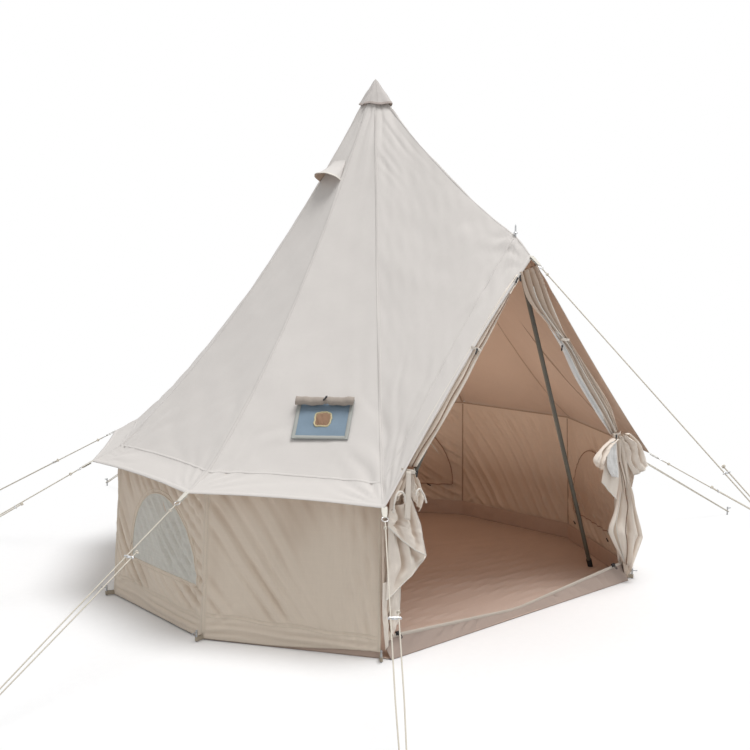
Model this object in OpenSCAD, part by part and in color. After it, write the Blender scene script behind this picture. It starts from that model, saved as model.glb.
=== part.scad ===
// Bell tent with a wall ring of eight panels, an A-frame doorway, a centre pole and pegged guy ropes.
// Millimetres. The origin is on the centre pole's axis at the ground. The doorway faces -Y, +Z is up.

/* [Plan] */
// Radius of the wall corners on the ground
base_r = 1350; // [1250:10:1500]
// Radius of the corners where the walls meet the roof
wall_top_r = 1310; // [1200:10:1400]
// Radius of the corners of the eave
eave_r = 1447; // [1420:1:1560]
// Half of the angle that the doorway takes in plan
door_half_angle = 41; // [38:0.5:43]

/* [Heights] */
// Height of the fold where the walls meet the roof
wall_h = 736; // [680:1:800]
// Height of the eave's corners
eave_z = 667; // [620:1:675]
// Radius of the roof's open top under the cap
roof_top_r = 45; // [42:1:50]
// Height of the roof's open top
roof_top_z = 2465; // [2380:1:2560]
// Depth that the roof hangs below a straight line from top to wall
roof_sag = 150; // [60:5:170]
// Thickness of the roof solid, measured upright
roof_t = 6; // [4:0.5:8]

/* [Doorway] */
// Distance of the A-frame's crown in front of the centre
crown_y = 945; // [900:5:980]
// Height of the roof ridge over the A-frame's crown
crown_z = 1775; // [1700:5:1850]
// Depth that the ridge hangs between the top and the crown
ridge_sag = 47; // [20:1:60]
// Distance of the doorway's peak in front of the centre
peak_y = 1049; // [1020:1:1090]
// Height of the doorway's peak
peak_z = 1671; // [1600:1:1690]
// Angle of the A-frame's feet in plan, from the doorway's middle
frame_foot_angle = 49.2; // [46:0.1:52]
// Distance of the A-frame's feet inside the circle of the wall corners
frame_foot_in = 155; // [120:5:220]

/* [Walls] */
// Thickness of the wall solids
wall_t = 3; // [2:0.5:5]
// Width of an arched window
window_w = 580; // [480:5:620]
// Height of an arched window
window_h = 347; // [300:1:380]
// Height of the window's sill above the ground
window_sill = 225; // [180:5:260]
// Thickness of the window netting
mesh_t = 2; // [1:0.5:3]
// Width that a window cover laps over the wall
cover_lap = 26; // [15:1:40]
// Thickness of a closed window cover
cover_t = 2; // [1:0.5:4]

/* [Groundsheet] */
// Thickness of the floor
floor_t = 3; // [2:0.5:6]
// Height of the groundsheet's upstand
tub_h = 78; // [60:1:110]
// Height of the doorway's sill in its middle
sill_h = 32; // [28:1:60]
// Height of the doorway's sill at its ends
sill_end_h = 94; // [70:1:110]
// Distance that the sill's foot stands out in front of its top edge
sill_lean = 45; // [20:1:60]
// Thickness of the upstand
tub_t = 4; // [3:0.5:6]

/* [Poles] */
// Outer diameter of the centre pole
pole_d = 32; // [28:1:36]
// Outer diameter of the A-frame's tubes
frame_d = 22; // [19:1:25]
// Wall of the pole tubes
tube_wall = 1.5; // [1:0.1:2.5]
// Length of the joining plugs inside the tubes
plug_l = 90; // [60:5:120]
// Height of the rubber feet
foot_h = 45; // [30:1:60]
// Wall of the rubber feet
foot_wall = 3; // [2:0.5:5]
// Diameter of the A-frame's crown ball
crown_d = 44; // [40:1:50]

/* [Cap and vents] */
// Radius of the cap's hem
cap_r = 79; // [76:1:90]
// Height of the cap's hem
cap_z = 2415; // [2405:1:2425]
// Height of the cap's tip
cap_tip_z = 2545; // [2535:1:2560]
// Thickness of the cap
cap_t = 2; // [1.5:0.5:3]
// Height of the vents' mouths
vent_z = 2020; // [1900:10:2100]
// Width of a vent's mouth
vent_w = 170; // [120:2:176]
// Rise of a vent's hood above the roof
vent_rise = 70; // [30:1:80]
// Length of a vent along the roof
vent_l = 130; // [100:5:180]

/* [Stove jack] */
// Width of the stove panel
jack_w = 256; // [220:2:300]
// Height of the stove panel along the roof
jack_h = 203; // [180:1:280]
// Thickness of the stove panel
jack_t = 3; // [2:0.5:5]
// Radius at which the stove panel's middle lies
jack_r = 1086; // [1000:1:1150]
// Distance of the stove panel from the middle of its roof panel
jack_shift = 63; // [0:1:110]
// Turn of the stove panel on the roof, in degrees
jack_turn = 2.9; // [0:0.1:6]
// Radius of the pipe hole
jack_hole_r = 38; // [30:1:60]
// Radius of the rolled rain flap
jack_roll_r = 19; // [12:1:25]

/* [Guy ropes] */
// Radius of the pegs around the centre
peg_r = 2660; // [2400:10:2900]
// Run of the door's guy rope from the peak to its peg
door_rope_run = 1990; // [1700:10:2200]
// Diameter of the ropes
rope_d = 6; // [4:0.5:8]
// Length of the webbing tabs at the eave
tab_l = 46; // [35:1:60]
// Width of the webbing tabs
tab_w = 25; // [18:1:30]
// Thickness of the webbing
webbing_t = 3; // [2:0.5:4]
// Radius of the rings, to the middle of the wire
ring_r = 13; // [10:0.5:18]
// Diameter of the ring wire
ring_wire = 4; // [3:0.5:5]
// Distance of most runners from the eave along the ropes
runner_high = 400; // [300:10:500]
// Distance of the runner at the left door corner from the eave
runner_low = 590; // [300:10:650]
// Distance of the runner of the door's rope from the peak
runner_peak = 1300; // [400:10:1500]
// Travel of a runner towards its peg
runner_travel = 350; // [200:10:400]
// Spacing of the two runs of rope in a runner
runner_pitch = 30; // [24:1:40]
// Width of a runner across the rope
runner_w = 12; // [10:0.5:16]
// Thickness of a runner along the rope
runner_t = 3; // [2:0.5:5]
// Diameter of the pegs
peg_d = 9; // [7:0.5:12]
// Height of a peg's hook above the ground
peg_h = 52; // [45:1:70]

/* [Door and small parts] */
// Half width of a gathered door flap at its widest
flap_half_w = 85; // [60:5:110]
// Half depth of a gathered door flap
flap_half_d = 40; // [25:1:50]
// Length of a zip slider's body
zip_l = 26; // [18:1:36]
// Height of a zip slider above the upstand's edge
zip_h = 9; // [6:0.5:14]
// Length of a toggle
toggle_l = 30; // [20:1:40]
// Diameter of a toggle
toggle_d = 8; // [6:0.5:12]

/* [Hidden] */
$fn = 48;

wall_count = 8;
corner_step = (360 - 2 * door_half_angle) / wall_count;
half_step = corner_step / 2;
// Clearance between sewn or seated pieces
seat = 0.4;
// Clearance around things that slide
running = 0.5;
roof_rows = 12;
eps = 0.01;

// Plan and roof functions
function polar(angle, r, z) = [r * sin(angle), -r * cos(angle), z];
function corner_angle(i) = door_half_angle + i * corner_step;
function panel_angle(i) = corner_angle(i) + half_step;
function mix(a, b, t) = a + (b - a) * t;
function unit(v) = v / norm(v);
function sag_curve(u) = 4 * u * (1 - u);
function roof_z(r) =
    let (u = (r - roof_top_r) / (wall_top_r - roof_top_r))
    mix(roof_top_z, wall_h, u) - roof_sag * sag_curve(u);
function roof_slope(r) =
    let (u = (r - roof_top_r) / (wall_top_r - roof_top_r))
    (wall_h - roof_top_z - 4 * roof_sag * (1 - 2 * u)) / (wall_top_r - roof_top_r);
function roof_r_at(z, low = roof_top_r, high = wall_top_r, n = 30) =
    n == 0 ? (low + high) / 2 :
    roof_z((low + high) / 2) > z ? roof_r_at(z, (low + high) / 2, high, n - 1) :
    roof_r_at(z, low, (low + high) / 2, n - 1);
function seam_rows(angle) = concat(
    [for (k = [0:roof_rows]) let (r = mix(roof_top_r, wall_top_r, k / roof_rows)) polar(angle, r, roof_z(r))],
    [polar(angle, eave_r, eave_z)]);
function ridge_rows() = concat(
    [for (k = [0:roof_rows]) let (u = k / roof_rows)
        [0, -mix(roof_top_r, crown_y, u), mix(roof_top_z, crown_z, u) - ridge_sag * sag_curve(u)]],
    [[0, -peak_y, peak_z]]);
function pulled_in(a, b, gap) = a + unit(b - a) * gap;

// Wall geometry
wall_lean = atan2(base_r * cos(half_step) - wall_top_r * cos(half_step), wall_h);
wall_top_z = wall_h - roof_t - seat;
wall_slope_h = wall_top_z / cos(wall_lean);
wall_foot_apothem = base_r * cos(half_step);
wall_head_r = base_r - (base_r - wall_top_r) * wall_top_z / wall_h;
mitre_inset = wall_t * tan(half_step) + seat;

// Groundsheet geometry: the upstand leans against the walls at its top edge
tub_set_in = (wall_t / cos(wall_lean) + seat) / cos(half_step);
wall_in_at_tub = max(0, (base_r - wall_top_r) * tub_h / wall_h);
tub_corner_r = base_r - wall_in_at_tub - tub_set_in;
tub_inner_r = tub_corner_r - tub_t / cos(half_step);
sill_y = -tub_corner_r * cos(door_half_angle);
sill_half = tub_corner_r * sin(door_half_angle);

// Rope geometry: every rope runs in a plane through its ring and its peg
rope_r = rope_d / 2;
peg_bend_r = peg_d / 2 + rope_r + 2 * seat;
peg_catch_z = 24;
ring_at = tab_l + ring_wire / 2 + seat + ring_r;
rope_from = ring_at + ring_r + ring_wire / 2 + seat;
tail_l = 26;
function tab_from(i) = webbing_t / 2 + (i < 9 ? 0 : 2 * seat);

function runner_at(i) = i > wall_count ? runner_peak : i == wall_count ? runner_low : runner_high;
function rope_start(i) =
    i < 9 ? polar(corner_angle(i), eave_r, eave_z - roof_t / 2) : [0, -peak_y, peak_z - roof_t / 2];
function rope_end(i) =
    i < 9 ? polar(corner_angle(i), peg_r, peg_catch_z) : [0, -peak_y - door_rope_run, peg_catch_z];
function rope_dir(i) = unit(rope_end(i) - rope_start(i));
function rope_side(i) = unit(cross([0, 0, 1], rope_dir(i)));
function rope_length(i) = norm(rope_end(i) - rope_start(i));
function rope_point(i, u, v) = rope_start(i) + u * rope_dir(i) + v * rope_side(i);
function rope_route(i) =
    let (l = rope_length(i), mid = runner_pitch / 2, parting = runner_at(i) + runner_travel + runner_pitch)
    let (reach = peg_bend_r / norm([rope_dir(i).x, rope_dir(i).y]))
    concat(
        [[rope_from, 0], [parting, 0]],
        [for (a = [-90:30:90]) [l + reach * cos(a), mid + peg_bend_r * sin(a)]],
        [[parting, runner_pitch], [runner_at(i) - tail_l, runner_pitch]]);

// Points of a tube that follows a flat route, with its rings square to the route
function route_tangent(p, k) = unit(p[min(k + 1, len(p) - 1)] - p[max(k - 1, 0)]);
function tube_points(i, sides) =
    let (p = rope_route(i), up = cross(rope_dir(i), rope_side(i)))
    [for (k = [0:len(p) - 1], s = [0:sides - 1])
        let (t = route_tangent(p, k), out = t[0] * rope_side(i) - t[1] * rope_dir(i), a = 360 * s / sides)
        rope_point(i, p[k][0], p[k][1]) + rope_r * (cos(a) * out + sin(a) * up)];

// A closed solid through rings of points, with the same count of points in every ring
module lofted(points, sides) {
    rings = len(points) / sides;
    skin = [for (k = [0:rings - 2], s = [0:sides - 1])
        let (a = k * sides + s, b = k * sides + (s + 1) % sides)
        each [[a, a + sides, b], [b, a + sides, b + sides]]];
    start = [[for (s = [0:sides - 1]) s]];
    finish = [[for (s = [sides - 1:-1:0]) (rings - 1) * sides + s]];
    polyhedron(points = points, faces = concat(start, skin, finish));
}

// A cloth panel between two seams, given as rows of points from the top down
module draped_panel(left, right) {
    n = len(left);
    gap = seat / 2;
    rows = [for (k = [0:n - 1]) [pulled_in(left[k], right[k], gap), pulled_in(right[k], left[k], gap)]];
    top = [for (row = rows) each row];
    under = [for (p = top) p - [0, 0, roof_t]];
    u = 2 * n;
    spans = [for (k = [0:n - 2]) 2 * k];
    polyhedron(points = concat(top, under), faces = concat(
        [for (k = spans) each [[k, k + 1, k + 3], [k, k + 3, k + 2]]],
        [for (k = spans) each [[u + k, u + k + 3, u + k + 1], [u + k, u + k + 2, u + k + 3]]],
        [for (k = spans) each [[k, k + 2, u + k + 2, u + k], [k + 3, k + 1, u + k + 1, u + k + 3]]],
        [[1, 0, u, u + 1], [u - 2, u - 1, 2 * u - 1, 2 * u - 2]]));
}

// Places children, drawn along +Z, on the line from one point to another
module along(from, to) {
    v = to - from;
    translate(from) rotate([0, acos(v.z / norm(v)), atan2(v.y, v.x)]) children();
}

// Places children on a rope: +X runs along the rope, +Y across it, +Z up from it
module on_rope(i, u) {
    d = rope_dir(i);
    translate(rope_point(i, u, 0)) rotate([0, -asin(d.z), atan2(d.y, d.x)]) children();
}

// Places children on a wall: X across the panel, Y up the wall from the ground, Z outwards
module on_wall(i) {
    rotate([0, 0, panel_angle(i)]) translate([0, -wall_foot_apothem, 0])
        rotate([90 - wall_lean, 0, 0]) children();
}

// Places children on the middle of a roof panel: X across it, Y up the slope, Z outwards
module on_roof(angle, r) {
    tilt = atan(-roof_slope(r) / cos(half_step));
    rotate([0, 0, angle]) translate([0, -r * cos(half_step), roof_z(r)]) rotate([tilt, 0, 0]) children();
}

// Half of an ellipse standing on the X axis
module arch(w, h) {
    intersection() {
        scale([1, 2 * h / w]) circle(r = w / 2);
        translate([-w / 2, 0]) square([w, h]);
    }
}

function is_window(i) = i % 2 == 0;

module wall_panel(i) {
    foot_half = base_r * sin(half_step) - mitre_inset;
    head_half = wall_head_r * sin(half_step) - mitre_inset;
    color("tan") on_wall(i) translate([0, 0, -wall_t]) linear_extrude(wall_t) difference() {
        polygon([[-foot_half, wall_t * tan(wall_lean)], [foot_half, wall_t * tan(wall_lean)],
            [head_half, wall_slope_h], [-head_half, wall_slope_h]]);
        if (is_window(i)) translate([0, window_sill]) arch(window_w, window_h);
    }
}

module window_meshes() {
    color("lightslategray") for (i = [0:wall_count - 1]) if (is_window(i))
        on_wall(i) translate([0, window_sill + seat, -wall_t / 2 - mesh_t / 2])
            linear_extrude(mesh_t) arch(window_w - 2 * seat, window_h - 2 * seat);
}

module window_covers() {
    color("burlywood") for (i = [0:wall_count - 1]) if (is_window(i))
        on_wall(i) translate([0, window_sill - cover_lap, -wall_t - seat - cover_t])
            linear_extrude(cover_t) arch(window_w + 2 * cover_lap, window_h + 2 * cover_lap);
}

// The floor reaches out in front of the doorway's corners to the foot of the sill
sill_foot_y = sill_y - sill_lean;
sill_foot_half = sill_half - sill_lean / 3;
sill_inner_y = -tub_inner_r * cos(door_half_angle);

module groundsheet() {
    corners = [for (i = [0:wall_count]) let (p = polar(corner_angle(i), tub_corner_r, 0)) [p.x, p.y]];
    color("rosybrown") linear_extrude(floor_t)
        polygon(concat(corners, [[-sill_foot_half, sill_foot_y], [sill_foot_half, sill_foot_y]]));
}

// The sill leans out below an upright top edge, which falls from both ends to a level middle
sill_mid_half = 40;
sill_slope = atan2(sill_end_h - sill_h, sill_foot_half - sill_mid_half);
function sill_top_z(x) = sill_h + (x - sill_mid_half) * tan(sill_slope);

module door_sill() {
    edge_z = sill_h / 2;
    half = sill_foot_half - tub_t;
    intersection() {
        translate([-half, 0, 0]) rotate([90, 0, 90]) linear_extrude(2 * half) polygon([
            [sill_foot_y, floor_t], [sill_foot_y + tub_t, floor_t], [sill_inner_y, edge_z],
            [sill_inner_y, sill_end_h], [sill_y, sill_end_h], [sill_y, edge_z]]);
        rotate([90, 0, 0]) linear_extrude(2 * base_r) polygon([
            [-sill_foot_half, 0], [sill_foot_half, 0], [sill_foot_half, sill_end_h], [sill_mid_half, sill_h],
            [-sill_mid_half, sill_h], [-sill_foot_half, sill_end_h]]);
    }
}

// One strip of the upstand along each wall, and the doorway's sill
module groundsheet_upstands() {
    color("sienna") {
        for (i = [0:wall_count - 1]) {
            outer = [for (k = [i, i + 1]) polar(corner_angle(k), tub_corner_r, 0)];
            inner = [for (k = [i, i + 1]) polar(corner_angle(k), tub_inner_r, 0)];
            corners = [pulled_in(outer[0], outer[1], seat / 2), pulled_in(outer[1], outer[0], seat / 2),
                pulled_in(inner[1], inner[0], seat / 2), pulled_in(inner[0], inner[1], seat / 2)];
            translate([0, 0, floor_t]) linear_extrude(tub_h - floor_t)
                polygon([for (p = corners) [p.x, p.y]]);
        }
        door_sill();
    }
}

stove_side = 7;
// The roof's flat rows stand above its true curve by this much at most
row_rise = roof_sag / pow(roof_rows, 2);

module jack_place() {
    on_roof(panel_angle(stove_side), jack_r) translate([jack_shift, 0, 0])
        rotate([0, 0, jack_turn]) children();
}

module roof_panel(i) {
    color("gainsboro") difference() {
        draped_panel(seam_rows(corner_angle(i)), seam_rows(corner_angle(i + 1)));
        if (i == stove_side) jack_place()
            cylinder(r = jack_hole_r + roof_hole_lap, h = 8 * roof_t, center = true);
        for (v = vent_sides) if (floor(v) == i) on_roof(corner_angle(v), vent_r)
            translate([0, vent_l * vent_hole_at, 0]) cylinder(r = vent_hole_r, h = 8 * roof_t, center = true);
    }
}

module roof_front(side) {
    color("gainsboro") if (side > 0) draped_panel(ridge_rows(), seam_rows(door_half_angle));
    else draped_panel(seam_rows(-door_half_angle), ridge_rows());
}

// The stove panel stands clear of the roof's hollow curve and rests on it at its two ends
jack_reach = jack_h / 2 * cos(jack_turn) + jack_w / 2 * sin(jack_turn);
jack_bow = roof_sag * 4 * pow(jack_reach * cos(atan(-roof_slope(jack_r))) / (wall_top_r - roof_top_r), 2);
jack_sink = 0.1;
jack_lift = jack_bow + seat - jack_sink;
roof_hole_lap = 2;

module stove_panel() {
    color("lightsteelblue") jack_place() translate([0, 0, jack_lift]) linear_extrude(jack_t) difference() {
        translate([-jack_w / 2, -jack_h / 2]) square([jack_w, jack_h]);
        circle(r = jack_hole_r);
    }
}

module stove_flap_roll() {
    roll_y = jack_h / 2 - jack_roll_r;
    color("lightgray") jack_place()
        translate([0, roll_y, jack_lift + jack_t + seat + jack_roll_r]) rotate([0, 90, 0])
            cylinder(r = jack_roll_r, h = jack_w + 6, center = true);
}

// The cap hangs as a cone from the pole's head, and its hem rides over the ridge at the front
cap_sides = 48;
cap_slope = (cap_tip_z - cap_z) / cap_r;
cap_drop = cap_t * norm([1, cap_slope]);
hem_lift = 7;
ridge_z_at_hem = mix(roof_top_z, crown_z, (cap_r - roof_top_r) / (crown_y - roof_top_r));
function off_ridge(angle) = min(1, min(angle, 360 - angle) / door_half_angle);
function hem_z(angle) = max(cap_z, mix(ridge_z_at_hem, roof_z(cap_r), off_ridge(angle)) + hem_lift);

module roof_cap() {
    n = cap_sides;
    hem = [for (k = [0:n - 1]) let (a = 360 * k / n) polar(a, cap_r, hem_z(a))];
    outer = concat(hem, [[0, 0, cap_tip_z]]);
    inner = [for (p = outer) p - [0, 0, cap_drop]];
    m = n + 1;
    color("lightgray") polyhedron(points = concat(outer, inner), faces = concat(
        [for (k = [0:n - 1]) [(k + 1) % n, k, n]],
        [for (k = [0:n - 1]) [m + k, m + (k + 1) % n, m + n]],
        [for (k = [0:n - 1]) [k, (k + 1) % n, m + (k + 1) % n, m + k]]));
}

// Two vents, one on each side, with their mouths facing down the slope
vent_sides = [1.5, 6.5];
vent_r = roof_r_at(vent_z);
vent_skin = 3;
vent_lift = row_rise + seat;
vent_hole_r = 24;
// Place of the vent's hole, as a share of the vent's length from its mouth
vent_hole_at = 0.3;

module vent_hoods() {
    half = vent_w / 2;
    color("lightgray") for (i = vent_sides) on_roof(corner_angle(i), vent_r) translate([0, 0, vent_lift])
        difference() {
            hood_shape(half, vent_rise, vent_l);
            translate([0, -vent_skin, -vent_skin])
                hood_shape(half - vent_skin, vent_rise, vent_l - vent_skin);
        }
}

// Half of a flat cone: a tall mouth at the front that runs out to a point up the slope
module hood_shape(half, rise, l) {
    n = 12;
    mouth = [for (k = [0:n]) let (a = 180 * k / n) [half * cos(a), 0, rise * sin(a)]];
    tip = [0, l, 0];
    points = concat(mouth, [tip]);
    polyhedron(points = points, faces = concat(
        [[for (k = [n:-1:0]) k]],
        [for (k = [0:n - 1]) [k, k + 1, n + 1]],
        [[n, 0, n + 1]]));
}

// Poles
pole_floor = floor_t + seat;
finial_h = 34;
finial_step = 9;
finial_tip_z = cap_tip_z - cap_drop - seat * norm([1, cap_slope]);
finial_r = pole_d / 2 - 4;
finial_shoulder_z = finial_tip_z - finial_r * cap_slope;
pole_head_z = finial_shoulder_z - finial_h;
pole_foot_z = pole_floor + foot_wall;
section_l = (pole_head_z - pole_foot_z) / 3;

module tube(od, l) {
    difference() {
        cylinder(d = od, h = l);
        translate([0, 0, -eps]) cylinder(d = od - 2 * tube_wall, h = l + 2 * eps);
    }
}

// A plug that carries the next tube: half of it stands out of its own tube's end
module tube_plug(od) {
    bore = od - 2 * tube_wall;
    plug_bore = bore - 2 * seat - 2 * tube_wall;
    translate([0, 0, -plug_l / 2]) difference() {
        union() {
            cylinder(d = bore - 2 * seat, h = plug_l);
            cylinder(d = bore, h = plug_l / 4);
        }
        translate([0, 0, -eps]) cylinder(d = plug_bore, h = plug_l + 2 * eps);
    }
}

module centre_pole_section(k) {
    color("dimgray") translate([0, 0, pole_foot_z + k * section_l]) {
        tube(pole_d, section_l - seat);
        if (k < 2) translate([0, 0, section_l - seat]) tube_plug(pole_d);
    }
}

module rubber_foot(od) {
    difference() {
        cylinder(d = od + 2 * (seat + foot_wall), h = foot_h);
        translate([0, 0, foot_wall]) cylinder(d = od + 2 * seat, h = foot_h);
    }
}

module centre_pole_foot() {
    color("black") translate([0, 0, pole_floor - seat / 2]) rubber_foot(pole_d);
}

module pole_finial() {
    shank = pole_d - 2 * tube_wall - 2 * seat;
    color("darkslategray") {
        translate([0, 0, pole_head_z - plug_l / 2]) cylinder(d = shank, h = plug_l / 2 + eps);
        translate([0, 0, pole_head_z]) cylinder(d = pole_d, h = finial_h - finial_step);
        translate([0, 0, pole_head_z]) cylinder(r = finial_r, h = finial_h);
        translate([0, 0, finial_shoulder_z])
            cylinder(r1 = finial_r, r2 = 0, h = finial_tip_z - finial_shoulder_z);
    }
}

// A-frame: two legs from the crown ball under the ridge to feet inside the wall
front_pitch = 52;
crown_drop = roof_t + (crown_d / 2 + seat) / cos(front_pitch) + 4;
crown_at = [0, -crown_y, crown_z - crown_drop];
frame_foot_z = floor_t + seat + foot_wall + 4;
function leg_foot(side) = polar(side * frame_foot_angle, base_r - frame_foot_in, frame_foot_z);
function leg_dir(side) = unit(crown_at - leg_foot(side));
crown_socket = 55;
leg_gap = 14;
function leg_head(side) = crown_at - leg_dir(side) * leg_gap;
function leg_middle(side) = mix(leg_foot(side), leg_head(side), 0.5);

module frame_lower(side) {
    color("dimgray") along(leg_foot(side), leg_head(side)) {
        l = norm(leg_head(side) - leg_foot(side)) / 2;
        tube(frame_d, l - seat);
        translate([0, 0, l - seat]) tube_plug(frame_d);
    }
}

module frame_upper(side) {
    color("dimgray") along(leg_middle(side), leg_head(side))
        tube(frame_d, norm(leg_head(side) - leg_middle(side)) - crown_socket / 2);
}

module frame_crown() {
    bore = frame_d - 2 * tube_wall - 2 * seat;
    color("darkslategray") {
        translate(crown_at) sphere(d = crown_d);
        for (side = [-1, 1]) along(crown_at, leg_foot(side))
            cylinder(d = bore, h = leg_gap + crown_socket / 2 + plug_l / 2);
    }
}

// Rubber boots on the legs, cut level where they stand on the floor
module frame_feet() {
    boot_d = frame_d + 2 * (seat + foot_wall);
    color("black") for (side = [-1, 1]) difference() {
        along(leg_foot(side), leg_head(side)) difference() {
            translate([0, 0, -boot_d]) cylinder(d = boot_d, h = boot_d + foot_h);
            translate([0, 0, -seat]) cylinder(d = frame_d + 2 * seat, h = 2 * foot_h);
        }
        translate(leg_foot(side) + [0, 0, floor_t + seat / 2 - foot_h - frame_foot_z])
            cylinder(d = 4 * boot_d, h = foot_h);
    }
}

// Eave hardware
rope_count = 10;

module eave_tabs() {
    color("wheat") for (i = [0:rope_count - 1]) on_rope(i, 0)
        translate([tab_from(i), -tab_w / 2, -webbing_t / 2]) cube([tab_l - tab_from(i), tab_w, webbing_t]);
}

module eave_rings() {
    color("silver") for (i = [0:rope_count - 1]) on_rope(i, ring_at)
        rotate_extrude() translate([ring_r, 0]) circle(d = ring_wire, $fn = 24);
}

rope_sides = 8;

module guy_rope(i) {
    color("ivory") lofted(tube_points(i, rope_sides), rope_sides);
}

module runner(i) {
    end_margin = 11;
    color("silver") on_rope(i, runner_at(i)) difference() {
        rotate([0, 90, 0]) linear_extrude(runner_t) hull() {
            translate([0, -end_margin + runner_w / 2]) circle(d = runner_w, $fn = 32);
            translate([0, runner_pitch + end_margin - runner_w / 2]) circle(d = runner_w, $fn = 32);
        }
        for (k = [0:2]) translate([-eps, k * runner_pitch / 2, 0]) rotate([0, 90, 0])
            cylinder(d = k == 1 ? rope_d : rope_d + 2 * running, h = runner_t + 2 * eps);
    }
}

// A peg shows its straight shank and its side hook above the ground
hook_d = peg_d - 2;
hook_l = 26;

module peg(hook_angle) {
    cylinder(d = peg_d, h = peg_h);
    translate([0, 0, peg_h - peg_d]) rotate([0, 90, hook_angle]) cylinder(d = hook_d, h = hook_l);
}

loop_reach = 34;
loop_peg_r = base_r + loop_reach;
loop_w = 18;
loop_z = 4;

module pegs() {
    color("gray") {
        for (i = [0:rope_count - 1]) {
            p = rope_point(i, rope_length(i), runner_pitch / 2);
            d = rope_dir(i);
            translate([p.x, p.y, 0]) peg(atan2(d.y, d.x));
        }
        for (i = [0:wall_count]) translate(polar(corner_angle(i), loop_peg_r, 0)) peg(corner_angle(i) - 90);
    }
}

// Webbing loops at the foot of each wall corner, lying around their pegs
module peg_loops() {
    inner = peg_d / 2 + seat;
    outer = inner + webbing_t;
    strap_l = loop_reach + inner * tan(half_step) - seat;
    color("wheat") for (i = [0:wall_count]) translate(polar(corner_angle(i), loop_peg_r, loop_z))
        rotate([0, 0, corner_angle(i) - 90]) linear_extrude(loop_w) difference() {
            union() {
                circle(r = outer);
                translate([-strap_l, -outer]) square([strap_l, 2 * outer]);
            }
            circle(r = inner);
            translate([-strap_l - eps, -inner]) square([strap_l - inner, 2 * inner]);
        }
}

// Gathered door flaps, as rings of points around a line that follows the doorway's edge
flap_sides = 10;
flap_hang = 86;
gather_half = 26;
tail_half = 14;
// Places along the flap, each as a distance in from the sill's end, out from the sill and up
function flap_at(from_end, out, z) = [-sill_half + from_end, sill_y - out, z];
flap_head = [0, -peak_y + flap_half_d, peak_z - flap_hang];
flap_tie = flap_at(150, 6, 775);
flap_lobes = flap_at(115, 24, 660);
flap_skirt = flap_at(98, 5.6, 520);
flap_fold = flap_at(96, 22, 400);
flap_tail = flap_at(46, 12, 240);
flap_line = [
    [mix(flap_head, flap_tie, 0.06), tail_half, tail_half],
    [mix(flap_head, flap_tie, 0.50), gather_half, gather_half * 0.9],
    [flap_tie, gather_half, gather_half * 0.8],
    [flap_lobes, flap_half_w, flap_half_d * 0.9],
    [flap_skirt, flap_half_w * 1.2, flap_half_d],
    [flap_fold, flap_half_w * 1.25, flap_half_d * 0.8],
    [flap_tail, flap_half_w * 0.4, flap_half_d * 0.4]
];

function flap_ring(k) =
    let (c = flap_line[k][0], w = flap_line[k][1], d = flap_line[k][2])
    [for (s = [0:flap_sides - 1]) let (a = -360 * s / flap_sides) c + [w * cos(a), d * sin(a), 0]];

module door_flap(side) {
    color("bisque") scale_side(side)
        lofted([for (k = [0:len(flap_line) - 1]) each flap_ring(k)], flap_sides);
}

module scale_side(side) {
    if (side < 0) children();
    else mirror([1, 0, 0]) children();
}

// Zip sliders straddle the top edge of the sill and run down its slope
zip_inset = 100;
zip_rest_x = sill_half - zip_inset;

module zip_slider(side) {
    cheek = 4;
    drop = 8;
    depth = sill_inner_y - sill_y + 2 * (running + cheek);
    color("black") translate([side * zip_rest_x, sill_y - running - cheek, sill_top_z(zip_rest_x)])
        rotate([0, -side * sill_slope, 0]) translate([-zip_l / 2, 0, -drop]) difference() {
            cube([zip_l, depth, drop + zip_h]);
            translate([-eps, cheek, -eps]) cube([zip_l + 2 * eps, depth - 2 * cheek, drop + running]);
        }
}

// Toggles: two below each window cover, one on the stove flap and one in front of each door tie
toggle_spread = 0.32;
module toggle() {
    rotate([0, 90, 0]) cylinder(d = toggle_d, h = toggle_l, center = true);
}

module toggles() {
    toggle_y = window_sill - cover_lap - toggle_d;
    wall_in = -wall_t - seat - toggle_d / 2;
    on_roll = [0, jack_h / 2 - jack_roll_r, jack_lift + jack_t + 2 * seat + 2 * jack_roll_r + toggle_d / 2];
    tie = flap_line[2];
    tie_front = tie[2] * cos(180 / flap_sides) + toggle_d / 2 + seat;
    color("black") {
        for (i = [0:wall_count - 1], side = [-1, 1]) if (is_window(i))
            on_wall(i) translate([side * window_w * toggle_spread, toggle_y, wall_in]) toggle();
        jack_place() translate(on_roll) rotate([0, 0, 60]) toggle();
        for (side = [-1, 1]) scale_side(side) translate(tie[0] - [0, tie_front, 0]) toggle();
    }
}

groundsheet();
groundsheet_upstands();
for (i = [0:wall_count - 1]) wall_panel(i);
window_meshes();
window_covers();
for (i = [0:wall_count - 1]) roof_panel(i);
roof_front(1);  // roof_front_right
roof_front(-1);  // roof_front_left
roof_cap();
vent_hoods();
stove_panel();
stove_flap_roll();
door_flap(-1);  // door_flap_left
door_flap(1);  // door_flap_right
centre_pole_section(0);  // centre_pole_lower
centre_pole_section(1);  // centre_pole_middle
centre_pole_section(2);  // centre_pole_upper
centre_pole_foot();
pole_finial();
frame_lower(-1);  // frame_left_lower
frame_upper(-1);  // frame_left_upper
frame_lower(1);  // frame_right_lower
frame_upper(1);  // frame_right_upper
frame_crown();
frame_feet();
eave_tabs();
eave_rings();
for (i = [0:4]) guy_rope(i);  // guy_ropes_right
for (i = [5:8]) guy_rope(i);  // guy_ropes_left
guy_rope(9);  // guy_rope_door
pegs();
peg_loops();
for (i = [0:8]) runner(i);
runner(9);  // runner_door
zip_slider(-1);  // zip_slider_left
zip_slider(1);  // zip_slider_right
toggles();
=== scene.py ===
"""Bell tent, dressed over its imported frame. Metres; the doorway faces -Y and +Z is up."""
import math

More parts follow.
